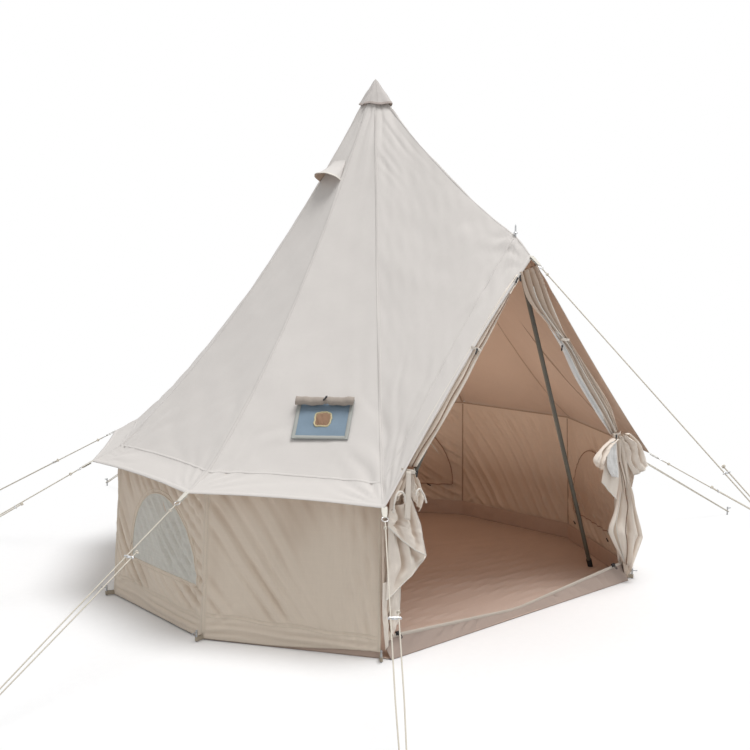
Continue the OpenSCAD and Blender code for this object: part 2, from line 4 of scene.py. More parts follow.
import bpy
import numpy as np
from mathutils import Matrix, Vector


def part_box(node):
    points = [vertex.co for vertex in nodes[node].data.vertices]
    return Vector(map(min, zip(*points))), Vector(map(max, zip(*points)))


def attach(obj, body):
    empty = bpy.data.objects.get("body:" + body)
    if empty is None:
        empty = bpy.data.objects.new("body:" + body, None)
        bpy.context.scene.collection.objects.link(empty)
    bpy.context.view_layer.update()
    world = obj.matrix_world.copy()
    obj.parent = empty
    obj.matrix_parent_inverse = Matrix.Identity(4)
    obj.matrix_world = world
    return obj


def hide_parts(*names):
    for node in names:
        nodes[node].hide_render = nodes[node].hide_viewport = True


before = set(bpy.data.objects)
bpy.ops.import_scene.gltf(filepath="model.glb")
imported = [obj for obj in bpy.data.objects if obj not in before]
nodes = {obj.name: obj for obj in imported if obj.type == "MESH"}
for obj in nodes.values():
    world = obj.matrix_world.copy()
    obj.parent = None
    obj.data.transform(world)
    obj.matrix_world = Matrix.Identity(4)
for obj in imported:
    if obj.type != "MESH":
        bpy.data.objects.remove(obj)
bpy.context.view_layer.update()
ROOT = "tent"

# Sizes of the tent, as in the part's source
BASE_R, WALL_TOP_R, EAVE_R = 1.350, 1.310, 1.447
DOOR_HALF = math.radians(41)
WALLS = 8
STEP = (2 * math.pi - 2 * DOOR_HALF) / WALLS
WALL_H, EAVE_Z = 0.736, 0.667
TOP_R, TOP_Z, ROOF_SAG = 0.045, 2.465, 0.150
CROWN_Y, CROWN_Z, RIDGE_SAG = 0.945, 1.775, 0.047
PEAK_Y, PEAK_Z = 1.049, 1.671
CAP_R, CAP_Z, CAP_TIP_Z = 0.079, 2.415, 2.545
WINDOW_W, WINDOW_H, WINDOW_SILL = 0.580, 0.347, 0.225
TUB_H, SILL_H, SILL_END_H, SILL_LEAN, SILL_MID = 0.078, 0.032, 0.094, 0.045, 0.040
JACK_W, JACK_H, JACK_R, JACK_SHIFT, JACK_HOLE = 0.256, 0.203, 1.086, 0.063, 0.038
JACK_TURN = math.radians(2.9)
VENT_W, VENT_RISE, VENT_L, VENT_Z = 0.170, 0.070, 0.130, 2.020
PEG_R, DOOR_RUN, CATCH_Z = 2.660, 1.990, 0.024
ROPE_D, ROPE_LAY, PITCH = 0.006, 0.040, 0.030
RUNNER_HIGH, RUNNER_LOW, RUNNER_PEAK, RUNNER_TRAVEL = 0.400, 0.590, 1.300, 0.350
RING_AT, RING_R = 0.0614, 0.013
FOLD_V = 0.90
# Thickness of the cloths
ROOF_T, WALL_T, COVER_T, FLAP_T, NET_T = 0.0014, 0.0012, 0.0010, 0.0011, 0.0006


def corner(i):
    """Plan angle of wall corner i, from the doorway's middle."""
    return DOOR_HALF + i * STEP


def polar(angle, r, z):
    """Points at a plan angle and radius: (r sin a, -r cos a, z)."""
    angle, r, z = np.broadcast_arrays(angle, r, z)
    return np.stack([r * np.sin(angle), -r * np.cos(angle), z], -1)


def mix(a, b, t):
    """Straight blend from a at t = 0 to b at t = 1."""
    return a + (b - a) * t


def step_up(x, low, high):
    """Smooth rise from 0 at low to 1 at high."""
    t = np.clip((x - low) / (high - low), 0, 1)
    return t * t * (3 - 2 * t)


def unit(v):
    """Vectors scaled to length one."""
    return v / np.maximum(np.linalg.norm(v, axis=-1, keepdims=True), 1e-9)


def ripple(x, y, wavelength, seed, waves=6):
    """Soft noise from -1 to 1: a mean of sine waves in seeded directions, with lengths around
    wavelength."""
    rng = np.random.default_rng(seed)
    total = np.zeros(np.broadcast(x, y).shape)
    bearings = rng.uniform(0, np.pi, waves)
    rates = rng.uniform(0.7, 1.5, waves)
    starts = rng.uniform(0, 6.28, waves)
    for a, k, p in zip(bearings, rates, starts):
        total += np.sin((x * np.cos(a) + y * np.sin(a)) * k * 2 * np.pi / wavelength + p)
    return total / math.sqrt(waves)


def pleat(phase, sharp=0.45):
    """A fold's height over its phase: a sine with a sharpened crest."""
    return np.sin(phase) + sharp * (np.cos(2 * phase) * 0.5)


def pleats(run, pitch, drift=0.0, sharp=0.45):
    """Pleats a pitch apart along a run, each shifted by a drift in radians."""
    return pleat(2 * np.pi * run / pitch + drift, sharp)


def in_frame(spot, u, v, w):
    """Points at (u, v, w) along the across, up and outward directions of a spot, which starts with its
    origin."""
    origin, across, up, out = spot
    return origin + u[..., None] * across + v[..., None] * up + w[..., None] * out


def fan(x, y, cx, cy, folds, seed, start, reach, aim, spread):
    """Folds that run out from a point: a pleat of the bearing that fades with distance and off its aim."""
    dx, dy = x - cx, y - cy
    rho = np.hypot(dx, dy)
    bearing = np.arctan2(dy, dx)
    off = np.angle(np.exp(1j * (bearing - aim)))
    warp = 0.9 * ripple(x, y, 0.35, seed)
    body = pleat(folds * off + warp * 2 + seed)
    keep = np.exp(-(off / spread) ** 2) * step_up(rho, 0.25 * start, start)
    keep = keep * np.exp(-np.maximum(rho - start, 0) / reach)
    return body * keep * (0.65 + 0.35 * ripple(x, y, 0.5, seed + 5))


# Meshes

def quads(rows, cols, closed=False, flip=False):
    """Faces of a rows by cols grid of points; closed joins the last column to the first."""
    r = np.arange(rows - 1)[:, None]
    c = np.arange(cols if closed else cols - 1)[None, :]
    a, b = r * cols + c, r * cols + (c + 1) % cols
    f = np.stack([a, b, b + cols, a + cols], -1).reshape(-1, 4)
    return f[:, ::-1] if flip else f


def lengths_uv(p):
    """UV in metres: the running length along each row, and down each column."""
    du = np.linalg.norm(np.diff(p, axis=1), axis=-1)
    dv = np.linalg.norm(np.diff(p, axis=0), axis=-1)
    u = np.concatenate([np.zeros((p.shape[0], 1)), np.cumsum(du, 1)], 1)
    v = np.concatenate([np.zeros((1, p.shape[1])), np.cumsum(dv, 0)], 0)
    return np.stack([u - u[:, p.shape[1] // 2, None], -v], -1)


CUTS = {}


class Pile:
    """Grids gathered into one mesh, with the width, length and area that their cloth was cut to."""

    def __init__(self):
        self.p, self.f, self.uv, self.hollow, self.n, self.cut = [], [], [], [], 0, []

    def grid(self, p, closed=False, flip=False, uv=None, keep=None, hollow=0.0):
        """Adds a grid of points, with the faces whose middles are to be kept. Its cut is as wide as its
        longest row, as tall as its longest column, and has half the cross product of the diagonals of each
        face as area."""
        rows, cols = p.shape[:2]
        # Each point's share of painted shade, for the darker colour in the troughs of folds
        self.hollow.append(np.broadcast_to(hollow, (rows, cols)).ravel())
        f = quads(rows, cols, closed, flip)
        if keep is not None:
            f = f[keep(p.reshape(-1, 3)[f].mean(1))]
        self.f.append(f + self.n)
        self.p.append(p.reshape(-1, 3))
        self.uv.append((lengths_uv(p) if uv is None else uv).reshape(-1, 2))
        self.n += rows * cols
        q = np.concatenate([p, p[:, :1]], 1) if closed else p
        wide = np.linalg.norm(np.diff(q, axis=1), axis=-1).sum(1).max()
        tall = np.linalg.norm(np.diff(q, axis=0), axis=-1).sum(0).max()
        cells = np.cross(q[1:, 1:] - q[:-1, :-1], q[1:, :-1] - q[:-1, 1:])
        self.cut.append((wide, tall, 0.5 * np.linalg.norm(cells, axis=-1).sum()))
        return self

    def tube(self, path, radius, sides=10, twist=0.0, lobes=0, depth=0.0, cap=True, up=(0, 0, 1)):
        """A round or lobed profile carried along a path, closed at its ends by shrunken rings."""
        path = np.asarray(path, float)
        n = len(path)
        t = unit(np.gradient(path, axis=0))
        side = unit(np.cross(t, np.broadcast_to(np.asarray(up, float), t.shape)))
        over = np.cross(side, t)
        run = np.concatenate([[0], np.cumsum(np.linalg.norm(np.diff(path, axis=0), axis=1))])
        turn = np.linspace(0, 2 * np.pi, sides, endpoint=False)
        a = turn[None, :] + twist * run[:, None]
        r = np.broadcast_to(np.asarray(radius, float).reshape(-1, 1), (n, 1)) * np.ones((n, sides))
        if lobes:
            r = r * (1 - depth + depth * np.abs(np.cos(lobes / 2 * turn))[None])
        p = r[..., None] * (np.cos(a)[..., None] * side[:, None] + np.sin(a)[..., None] * over[:, None])
        p = path[:, None] + p
        uv = np.stack(np.broadcast_arrays(np.arange(sides)[None] / sides, run[:, None]), -1)
        if cap:
            p = np.concatenate([mix(p[:1], path[:1, None], 0.98), p, mix(p[-1:], path[-1:, None], 0.98)])
            uv = np.concatenate([uv[:1], uv, uv[-1:]])
        return self.grid(p, closed=True, uv=uv)

    def make(self, name, materials):
        """The gathered grids as one smooth piece; its cuts lie one below the other."""
        mesh = bpy.data.meshes.new(name)
        faces = np.concatenate(self.f)
        mesh.from_pydata(np.concatenate(self.p).tolist(), [], faces.tolist())
        layer = mesh.uv_layers.new(name="cut")
        uv = np.concatenate(self.uv)
        layer.data.foreach_set("uv", uv[faces.ravel()].ravel())
        # The painted shade goes on the mesh as a point attribute that the cloth material reads
        hollow = np.concatenate(self.hollow)
        if hollow.any():
            mesh.attributes.new("hollow", "FLOAT", "POINT").data.foreach_set("value", hollow)
        for m in materials:
            mesh.materials.append(m)
        mesh.polygons.foreach_set("use_smooth", np.ones(len(faces), bool))
        mesh.update()
        piece = bpy.data.objects.new(name, mesh)
        bpy.context.scene.collection.objects.link(piece)
        wide, tall, area = np.array(self.cut).T
        CUTS[name] = (wide.max(), tall.sum(), area.sum())
        return piece


def grid_piece(name, p, materials, closed=False, flip=False, uv=None):
    """One grid as a piece of its own."""
    return Pile().grid(p, closed, flip, uv).make(name, materials)


def thicken(piece, thickness, inner=0, offset=-1.0):
    """Gives a sheet its cloth thickness, with its inner side in a material of its own."""
    m = piece.modifiers.new("cloth", "SOLIDIFY")
    m.thickness, m.offset = thickness, offset
    m.use_even_offset = False
    m.material_offset = inner
    return piece


def settle(piece, slot, *replaced, body=ROOT):
    """Puts a piece on its body, in place of the CAD nodes it stands for, which are hidden. Its slot is not
    used.
    """
    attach(piece, body)
    if replaced:
        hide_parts(*replaced)
    return piece


def normals(p):
    """Unit normals of a grid whose rows are closed, from its differences along rows and columns."""
    return unit(np.cross(np.roll(p, -1, 1) - np.roll(p, 1, 1), np.gradient(p, axis=0)))


# Least share of its rectangle that a cut fills
LEAST_FILL = 0.35


def declare(piece, held, *rests, trims=(), cut=None):
    """Works out the rectangle that a piece's cloth was cut from, and keeps nothing of it. Canvas doesn't
    stretch, so its area is that of the hung cloth, and the cut fills at least LEAST_FILL of the rectangle."""
    wide, tall, area = CUTS[piece.name]
    wide, tall = cut or (wide, min(tall, area / (LEAST_FILL * wide)))
    area = min(area, wide * tall)


# Finishes

def group(name, inputs, outputs):
    """An empty shader node group with named float, colour or vector sockets."""
    g = bpy.data.node_groups.new(name, "ShaderNodeTree")
    for n, kind, value in inputs:
        s = g.interface.new_socket(n, in_out="INPUT", socket_type=kind)
        if value is not None:
            s.default_value = value
    for n, kind in outputs:
        g.interface.new_socket(n, in_out="OUTPUT", socket_type=kind)
    return g, g.nodes.new("NodeGroupInput"), g.nodes.new("NodeGroupOutput")


def add(tree, kind, links=(), **values):
    """A node with its properties set, and its inputs set or linked by name or number."""
    n = tree.nodes.new(kind)
    for k, v in values.items():
        setattr(n, k, v)
    for k, v in dict(links).items():
        if hasattr(v, "is_output"):
            tree.links.new(v, n.inputs[k])
        else:
            n.inputs[k].default_value = v
    return n


def math_node(tree, op, a, b=0.0):
    """The result of one sum on two values."""
    return add(tree, "ShaderNodeMath", {0: a, 1: b}, operation=op).outputs[0]


FLOAT, COLOUR, VECTOR = "NodeSocketFloat", "NodeSocketColor", "NodeSocketVector"


def weave_group():
    """Plain weave on a UV in metres: two crossed thread waves for height, and long slubs for tone."""
    g, i, o = group("plain_weave", [("Cut", VECTOR, None), ("Threads", FLOAT, 900.0), ("Slubs", FLOAT, 0.5)],
                    [("Height", FLOAT), ("Tone", FLOAT)])
    xyz = add(g, "ShaderNodeSeparateXYZ", {0: i.outputs["Cut"]})
    rate = math_node(g, "MULTIPLY", i.outputs["Threads"], 2 * math.pi)
    warp = math_node(g, "SINE", math_node(g, "MULTIPLY", xyz.outputs[0], rate))
    weft = math_node(g, "SINE", math_node(g, "MULTIPLY", xyz.outputs[1], rate))
    g.links.new(math_node(g, "MULTIPLY", warp, weft), o.inputs["Height"])
    tones = []
    for stretch in ((6.0, 160.0, 1.0), (160.0, 6.0, 1.0)):
        m = add(g, "ShaderNodeMapping", {"Vector": i.outputs["Cut"], "Scale": stretch})
        slub = add(g, "ShaderNodeTexNoise", {"Vector": m.outputs[0], "Scale": 1.0, "Detail": 3.0})
        tones.append(slub.outputs[0])
    both = math_node(g, "SUBTRACT", math_node(g, "ADD", tones[0], tones[1]), 1.0)
    g.links.new(math_node(g, "MULTIPLY", both, i.outputs["Slubs"]), o.inputs["Tone"])
    return g


def mottle_group():
    """Uneven tone over a surface: a broad and a fine noise on Object coordinates, from -1 to 1."""
    g, i, o = group("uneven_tone", [("Place", VECTOR, None), ("Broad", FLOAT, 2.0), ("Fine", FLOAT, 24.0)],
                    [("Tone", FLOAT), ("Fleck", FLOAT)])
    where = i.outputs["Place"]
    broad = add(g, "ShaderNodeTexNoise", {"Vector": where, "Scale": i.outputs["Broad"], "Detail": 3.0})
    fine = add(g, "ShaderNodeTexNoise", {"Vector": where, "Scale": i.outputs["Fine"], "Detail": 4.0})
    for node, name in ((broad, "Tone"), (fine, "Fleck")):
        signed = math_node(g, "SUBTRACT", math_node(g, "MULTIPLY", node.outputs[0], 2.0), 1.0)
        g.links.new(signed, o.inputs[name])
    return g


def shade_group():
    """A colour made lighter or darker by a signed tone times an amount."""
    inputs = [("Colour", COLOUR, (0.5, 0.5, 0.5, 1)), ("Tone", FLOAT, 0.0), ("Amount", FLOAT, 0.1)]
    g, i, o = group("shaded_colour", inputs, [("Colour", COLOUR)])
    k = math_node(g, "ADD", math_node(g, "MULTIPLY", i.outputs["Tone"], i.outputs["Amount"]), 1.0)
    v = add(g, "ShaderNodeVectorMath", {0: i.outputs["Colour"], "Scale": k}, operation="SCALE")
    g.links.new(v.outputs[0], o.inputs["Colour"])
    return g


def stitch_group():
    """Rows of stitches on a tape: dashes along V beside both edges of the tape's U, from 0 to 1."""
    inputs = [("Cut", VECTOR, None), ("Half", FLOAT, 0.008), ("Pitch", FLOAT, 0.004)]
    g, i, o = group("stitch_rows", inputs, [("Mask", FLOAT)])
    xyz = add(g, "ShaderNodeSeparateXYZ", {0: i.outputs["Cut"]})
    edge = math_node(g, "SUBTRACT", math_node(g, "ABSOLUTE", xyz.outputs[0]), i.outputs["Half"])
    near = math_node(g, "LESS_THAN", math_node(g, "ABSOLUTE", edge), 0.0007)
    turn = math_node(g, "DIVIDE", math_node(g, "MULTIPLY", xyz.outputs[1], 2 * math.pi), i.outputs["Pitch"])
    dash = math_node(g, "GREATER_THAN", math_node(g, "SINE", turn), -0.35)
    g.links.new(math_node(g, "MULTIPLY", near, dash), o.inputs["Mask"])
    return g


WEAVE, MOTTLE, SHADE, STITCH = weave_group(), mottle_group(), shade_group(), stitch_group()


def material(name):
    """A new material: itself, its node tree, its shader and its texture coordinates."""
    m = bpy.data.materials.new(name)
    m.use_nodes = True
    t = m.node_tree
    return m, t, t.nodes["Principled BSDF"], t.nodes.new("ShaderNodeTexCoord")


def use(t, g, **links):
    """A node group placed in a material."""
    return add(t, "ShaderNodeGroup", links, node_tree=g)


# Painted shade: the share of a cloth's red, green and blue that is left deep in a fold, where light is warm
PAINTED_SHADE_TINT = (0.50, 0.38, 0.29)


def cloth(name, colour, rough=0.9, threads=900.0, tone=0.07, fleck=0.03, slub=0.05, bump=0.25, sheen=0.15,
          stitch=0.0, stitch_colour=0.7, hollow=0.0):
    """Woven cloth: weave and slubs from the cut's UV, uneven tone, a light sheen, stitch rows on tapes, and
    painted shade, a deeper and warmer colour, in the troughs of its folds."""
    m, t, bsdf, place = material(name)
    w = use(t, WEAVE, Cut=place.outputs["UV"], Threads=threads, Slubs=1.0)
    u = use(t, MOTTLE, Place=place.outputs["Object"], Broad=2.6, Fine=38.0)
    last = (*colour, 1)
    for shift, amount in ((u.outputs["Tone"], tone), (u.outputs["Fleck"], fleck), (w.outputs["Tone"], slub)):
        last = use(t, SHADE, Colour=last, Tone=shift, Amount=amount).outputs[0]
    # Painted shade: the colour is pulled towards a darker, warmer tint where the mesh marks a fold's trough
    if hollow:
        deep = add(t, "ShaderNodeAttribute", attribute_name="hollow").outputs["Fac"]
        warm = [k * s for k, s in zip(colour, PAINTED_SHADE_TINT)]
        share = math_node(t, "MULTIPLY", deep, hollow)
        last = add(t, "ShaderNodeMix", {0: share, 6: last, 7: (*warm, 1)}, data_type="RGBA").outputs[2]
    height = math_node(t, "ADD", math_node(t, "MULTIPLY", w.outputs["Height"], 0.3), w.outputs["Tone"])
    if stitch:
        s = use(t, STITCH, Cut=place.outputs["UV"], Half=stitch, Pitch=0.005)
        last = use(t, SHADE, Colour=last, Tone=s.outputs[0], Amount=stitch_colour - 1).outputs[0]
        height = math_node(t, "SUBTRACT", height, math_node(t, "MULTIPLY", s.outputs[0], 2.0))
    t.links.new(last, bsdf.inputs["Base Color"])
    b = add(t, "ShaderNodeBump", {"Strength": bump, "Distance": 0.0006, "Height": height})
    t.links.new(b.outputs[0], bsdf.inputs["Normal"])
    dull = math_node(t, "ADD", math_node(t, "MULTIPLY", u.outputs["Fleck"], 0.05), rough)
    t.links.new(dull, bsdf.inputs["Roughness"])
    bsdf.inputs["Specular IOR Level"].default_value = 0.25
    bsdf.inputs["Sheen Weight"].default_value = sheen
    bsdf.inputs["Sheen Roughness"].default_value = 0.5
    return m


def hard(name, colour, rough, metal=0.0, tone=0.12, coat=0.0):
    """Metal, plastic or rubber: uneven tone, flecks in colour and roughness, and a fine surface bump."""
    m, t, bsdf, place = material(name)
    u = use(t, MOTTLE, Place=place.outputs["Object"], Broad=9.0, Fine=160.0)
    c = use(t, SHADE, Colour=(*colour, 1), Tone=u.outputs["Tone"], Amount=tone)
    c = use(t, SHADE, Colour=c.outputs[0], Tone=u.outputs["Fleck"], Amount=0.08)
    t.links.new(c.outputs[0], bsdf.inputs["Base Color"])
    dull = math_node(t, "ADD", math_node(t, "MULTIPLY", u.outputs["Fleck"], 0.1), rough)
    t.links.new(dull, bsdf.inputs["Roughness"])
    b = add(t, "ShaderNodeBump", {"Strength": 0.05, "Distance": 0.0005, "Height": u.outputs["Fleck"]})
    t.links.new(b.outputs[0], bsdf.inputs["Normal"])
    bsdf.inputs["Metallic"].default_value = metal
    bsdf.inputs["Coat Weight"].default_value = coat
    return m


ROOF_OUT = cloth("roof_canvas", (0.690, 0.655, 0.625), tone=0.025, fleck=0.015, slub=0.02)
ROOF_IN = cloth("roof_canvas_inside", (0.600, 0.460, 0.365), tone=0.04, fleck=0.02, slub=0.03)
ROOF_TAPE = cloth("roof_seam_tape", (0.665, 0.630, 0.600), tone=0.02, stitch=0.007, stitch_colour=0.82)
SEAM_IN = cloth("inner_seam_tape", (0.440, 0.320, 0.240), tone=0.04)
HEM_TAPE = cloth("eave_hem", (0.700, 0.665, 0.635), tone=0.02, stitch=0.009, stitch_colour=0.85)
CAP = cloth("cap_canvas", (0.590, 0.555, 0.530), tone=0.02)
CAP_EDGE = cloth("cap_edging", (0.460, 0.400, 0.370), tone=0.04)
# Wall cloth carries painted shade in the troughs of its folds
WALL_OUT = cloth("wall_canvas", (0.790, 0.682, 0.565), tone=0.05, fleck=0.02, hollow=0.30)
WALL_IN = cloth("wall_canvas_inside", (0.740, 0.610, 0.500), tone=0.05)
WALL_TAPE = cloth("wall_seam_tape", (0.760, 0.660, 0.545), tone=0.03, stitch=0.007, stitch_colour=0.75)
COVER = cloth("cover_canvas", (0.660, 0.520, 0.415), tone=0.05)
# Door cloth: its folds carry strong painted shade in their troughs
FLAP = cloth("door_canvas", (0.880, 0.795, 0.705), tone=0.04, fleck=0.03, hollow=0.62)
TIE = cloth("door_tie", (0.760, 0.690, 0.610), threads=500.0, tone=0.06)
PIPING = cloth("pale_piping", (0.800, 0.755, 0.690), threads=500.0, tone=0.06)
NETTING = cloth("window_netting", (0.700, 0.680, 0.620), threads=420.0, tone=0.10, fleck=0.06, slub=0.18,
                bump=0.4)
DOOR_NET = cloth("door_netting", (0.815, 0.810, 0.795), threads=420.0, tone=0.08, fleck=0.05, slub=0.2,
                 bump=0.5)
FLOOR = cloth("floor_cloth", (0.630, 0.490, 0.415), rough=0.62, threads=650.0, tone=0.06, sheen=0.05)
UPSTAND = cloth("upstand_cloth", (0.580, 0.440, 0.365), rough=0.65, threads=650.0, tone=0.08, sheen=0.05)
LIP = cloth("sill_cloth", (0.410, 0.325, 0.280), rough=0.65, threads=650.0, tone=0.08, sheen=0.05)
LIP_EDGE = cloth("sill_binding", (0.640, 0.575, 0.500), threads=500.0, tone=0.06)
ZIP_TAPE = cloth("zip_tape", (0.260, 0.165, 0.115), rough=0.75, threads=500.0, tone=0.08)
COVER_ZIP = cloth("cover_zip_tape", (0.400, 0.250, 0.180), rough=0.75, threads=500.0, tone=0.08)
STOVE = cloth("stove_cloth", (0.220, 0.296, 0.372), rough=0.7, threads=600.0, tone=0.08, fleck=0.05)
BINDING = cloth("binding_tape", (0.410, 0.420, 0.396), threads=500.0, tone=0.05, stitch=0.009,
                stitch_colour=0.7)
ROLL = cloth("rain_flap", (0.400, 0.345, 0.300), threads=600.0, tone=0.10, fleck=0.05)
HOLE_EDGE = cloth("pipe_hole_edge", (0.620, 0.545, 0.330), threads=700.0, tone=0.15, fleck=0.2)
WEBBING = cloth("cream_webbing", (0.720, 0.690, 0.620), threads=380.0, tone=0.06, bump=0.5)
LOOP = cloth("beige_webbing", (0.430, 0.370, 0.290), threads=380.0, tone=0.08, bump=0.5)
ROPE = cloth("cream_rope", (0.700, 0.650, 0.560), threads=300.0, tone=0.08, fleck=0.08, bump=0.4)
POLE = hard("pole_coat", (0.115, 0.112, 0.092), 0.42, tone=0.15, coat=0.15)
RUBBER = hard("black_rubber", (0.018, 0.018, 0.018), 0.75)
TOGGLE = hard("black_plastic", (0.012, 0.012, 0.014), 0.38)
STEEL = hard("bright_steel", (0.62, 0.61, 0.60), 0.30, metal=1.0)
ALLOY = hard("satin_alloy", (0.74, 0.75, 0.77), 0.33, metal=1.0)
ZINC = hard("zinc_peg", (0.50, 0.51, 0.52), 0.45, metal=1.0, tone=0.2)


# Camera, light and floor

# Where the camera stands, what it looks at, how far it leans, and its lens
EYE, LOOK, CAMERA_ROLL = Vector((-4.110, -4.351, 1.750)), Vector((0.026, 0.0, 1.033)), math.radians(0.82)
IMAGE_PX, FOCAL_PX, SENSOR_MM = 750, 1151.3, 36.0
# Strength of the sky's light; to the camera the sky itself is white
SKY = 0.52


def aim_camera():
    """The camera at the photograph's place, with its roll and lens."""
    ahead = (LOOK - EYE).normalized()
    level = ahead.cross(Vector((0, 0, 1))).normalized()
    above = level.cross(ahead)
    right = level * math.cos(CAMERA_ROLL) + above * math.sin(CAMERA_ROLL)
    up = above * math.cos(CAMERA_ROLL) - level * math.sin(CAMERA_ROLL)
    cam = bpy.data.cameras.new("camera")
    cam.sensor_width, cam.lens = SENSOR_MM, FOCAL_PX / IMAGE_PX * SENSOR_MM
    cam.clip_end = 200
    o = bpy.data.objects.new("camera", cam)
    o.matrix_world = Matrix(((right.x, up.x, -ahead.x, EYE.x), (right.y, up.y, -ahead.y, EYE.y),
                             (right.z, up.z, -ahead.z, EYE.z), (0, 0, 0, 1)))
    bpy.context.scene.collection.objects.link(o)
    bpy.context.scene.camera = o


def lamp(name, place, look, size, power, colour=(1, 1, 1)):
    """A round area lamp that isn't seen itself."""
    light = bpy.data.lights.new(name, "AREA")
    light.shape, light.size, light.energy, light.color = "DISK", size, power, colour
    o = bpy.data.objects.new(name, light)
    o.location = place
    o.rotation_euler = (Vector(look) - Vector(place)).to_track_quat("-Z", "Y").to_euler()
    o.visible_camera = False
    bpy.context.scene.collection.objects.link(o)


def light_and_floor():
    """A pale sky, a broad soft lamp high above the doorway, a faint warm lamp for the light that comes
    through the cloth, and a floor that keeps its shadow near the tent and fades to white around it."""
    world = bpy.data.worlds.new("sky")
    bpy.context.scene.world = world
    world.use_nodes = True
    t = world.node_tree
    sky = t.nodes["Background"]
    path = t.nodes.new("ShaderNodeLightPath")
    seen = math_node(t, "MAXIMUM", path.outputs["Is Camera Ray"], path.outputs["Is Glossy Ray"])
    seen = math_node(t, "MAXIMUM", seen, path.outputs["Is Transmission Ray"])
    t.links.new(math_node(t, "ADD", math_node(t, "MULTIPLY", seen, 1 - SKY), SKY), sky.inputs[1])
    sky.inputs[0].default_value = (1, 1, 1, 1)
    lamp("key", (1.4, -4.6, 20.0), (0, 0, 0.9), 11.0, 2850)
    lamp("through_cloth", (0.0, 0.05, 0.30), (0, 0.05, 2.0), 1.5, 8.6, (1.0, 0.89, 0.79))
    a = np.linspace(-40, 40, 3)
    x, y = np.meshgrid(a, a)
    floor = grid_piece("ground", np.stack([x, y, 0 * x - 0.0005], -1), [])
    m, t, bsdf, place = material("pale_ground")
    u = use(t, MOTTLE, Place=place.outputs["Object"], Broad=1.0, Fine=30.0)
    path = t.nodes.new("ShaderNodeLightPath")
    c = use(t, SHADE, Colour=(0.93, 0.93, 0.935, 1), Tone=u.outputs["Fleck"], Amount=0.02)
    unseen = math_node(t, "SUBTRACT", 1.0, path.outputs["Is Camera Ray"])
    c = use(t, SHADE, Colour=c.outputs[0], Tone=unseen, Amount=-0.35)
    t.links.new(c.outputs[0], bsdf.inputs["Base Color"])
    bsdf.inputs["Roughness"].default_value = 0.9
    far = add(t, "ShaderNodeVectorMath", {0: place.outputs["Object"]}, operation="LENGTH").outputs["Value"]
    fade = add(t, "ShaderNodeMapRange", {"Value": far, "From Min": 1.7, "From Max": 3.0},
               interpolation_type="SMOOTHSTEP")
    white = add(t, "ShaderNodeEmission", {"Color": (1, 1, 1, 1), "Strength": 1.0})
    share = math_node(t, "MULTIPLY", fade.outputs[0], path.outputs["Is Camera Ray"])
    both = add(t, "ShaderNodeMixShader", {0: share, 1: bsdf.outputs[0], 2: white.outputs[0]})
    t.links.new(both.outputs[0], t.nodes["Material Output"].inputs["Surface"])
    floor.data.materials.append(m)
    bpy.context.scene.view_settings.view_transform = "Standard"


aim_camera()
light_and_floor()


# Roof

def roof_z(r):
    """Height of a roof seam at radius r: a straight fall with a parabolic sag."""
    u = (r - TOP_R) / (WALL_TOP_R - TOP_R)
    return mix(TOP_Z, WALL_H, u) - ROOF_SAG * 4 * u * (1 - u)


def over(a, b, soft):
    """Smooth maximum of two heights."""
    return (a + b) / 2 + np.sqrt(((a - b) / 2) ** 2 + soft ** 2)


def seam_point(k, v):
    """Seam k of the canopy at v from 0 at the cap to 1 at the hem: 0 and 10 are the ridge, 1 to 9 the
    corners."""
    inner, outer = np.minimum(v / FOLD_V, 1), np.maximum(v - FOLD_V, 0) / (1 - FOLD_V)
    if k in (0, 10):
        y = mix(TOP_R, CROWN_Y, inner) + (PEAK_Y - CROWN_Y) * outer
        u = (y - TOP_R) / (CROWN_Y - TOP_R)
        rise = mix(TOP_Z, CROWN_Z, u) - RIDGE_SAG * 4 * u * (1 - u)
        fall = mix(CROWN_Z, PEAK_Z, (y - CROWN_Y) / (PEAK_Y - CROWN_Y))
        return np.stack([0 * y, -y, -over(-rise, -fall, 0.003)], -1)
    r = mix(TOP_R, WALL_TOP_R, inner) + (EAVE_R - WALL_TOP_R) * outer
    eave = mix(WALL_H, EAVE_Z, (r - WALL_TOP_R) / (EAVE_R - WALL_TOP_R))
    return polar(corner(k - 1), r, np.where(r > 1.0, over(roof_z(r), eave, 0.003), roof_z(r)))


PANEL_COLS = [52] + [34] * 8 + [52]
ROOF_ROWS = 128


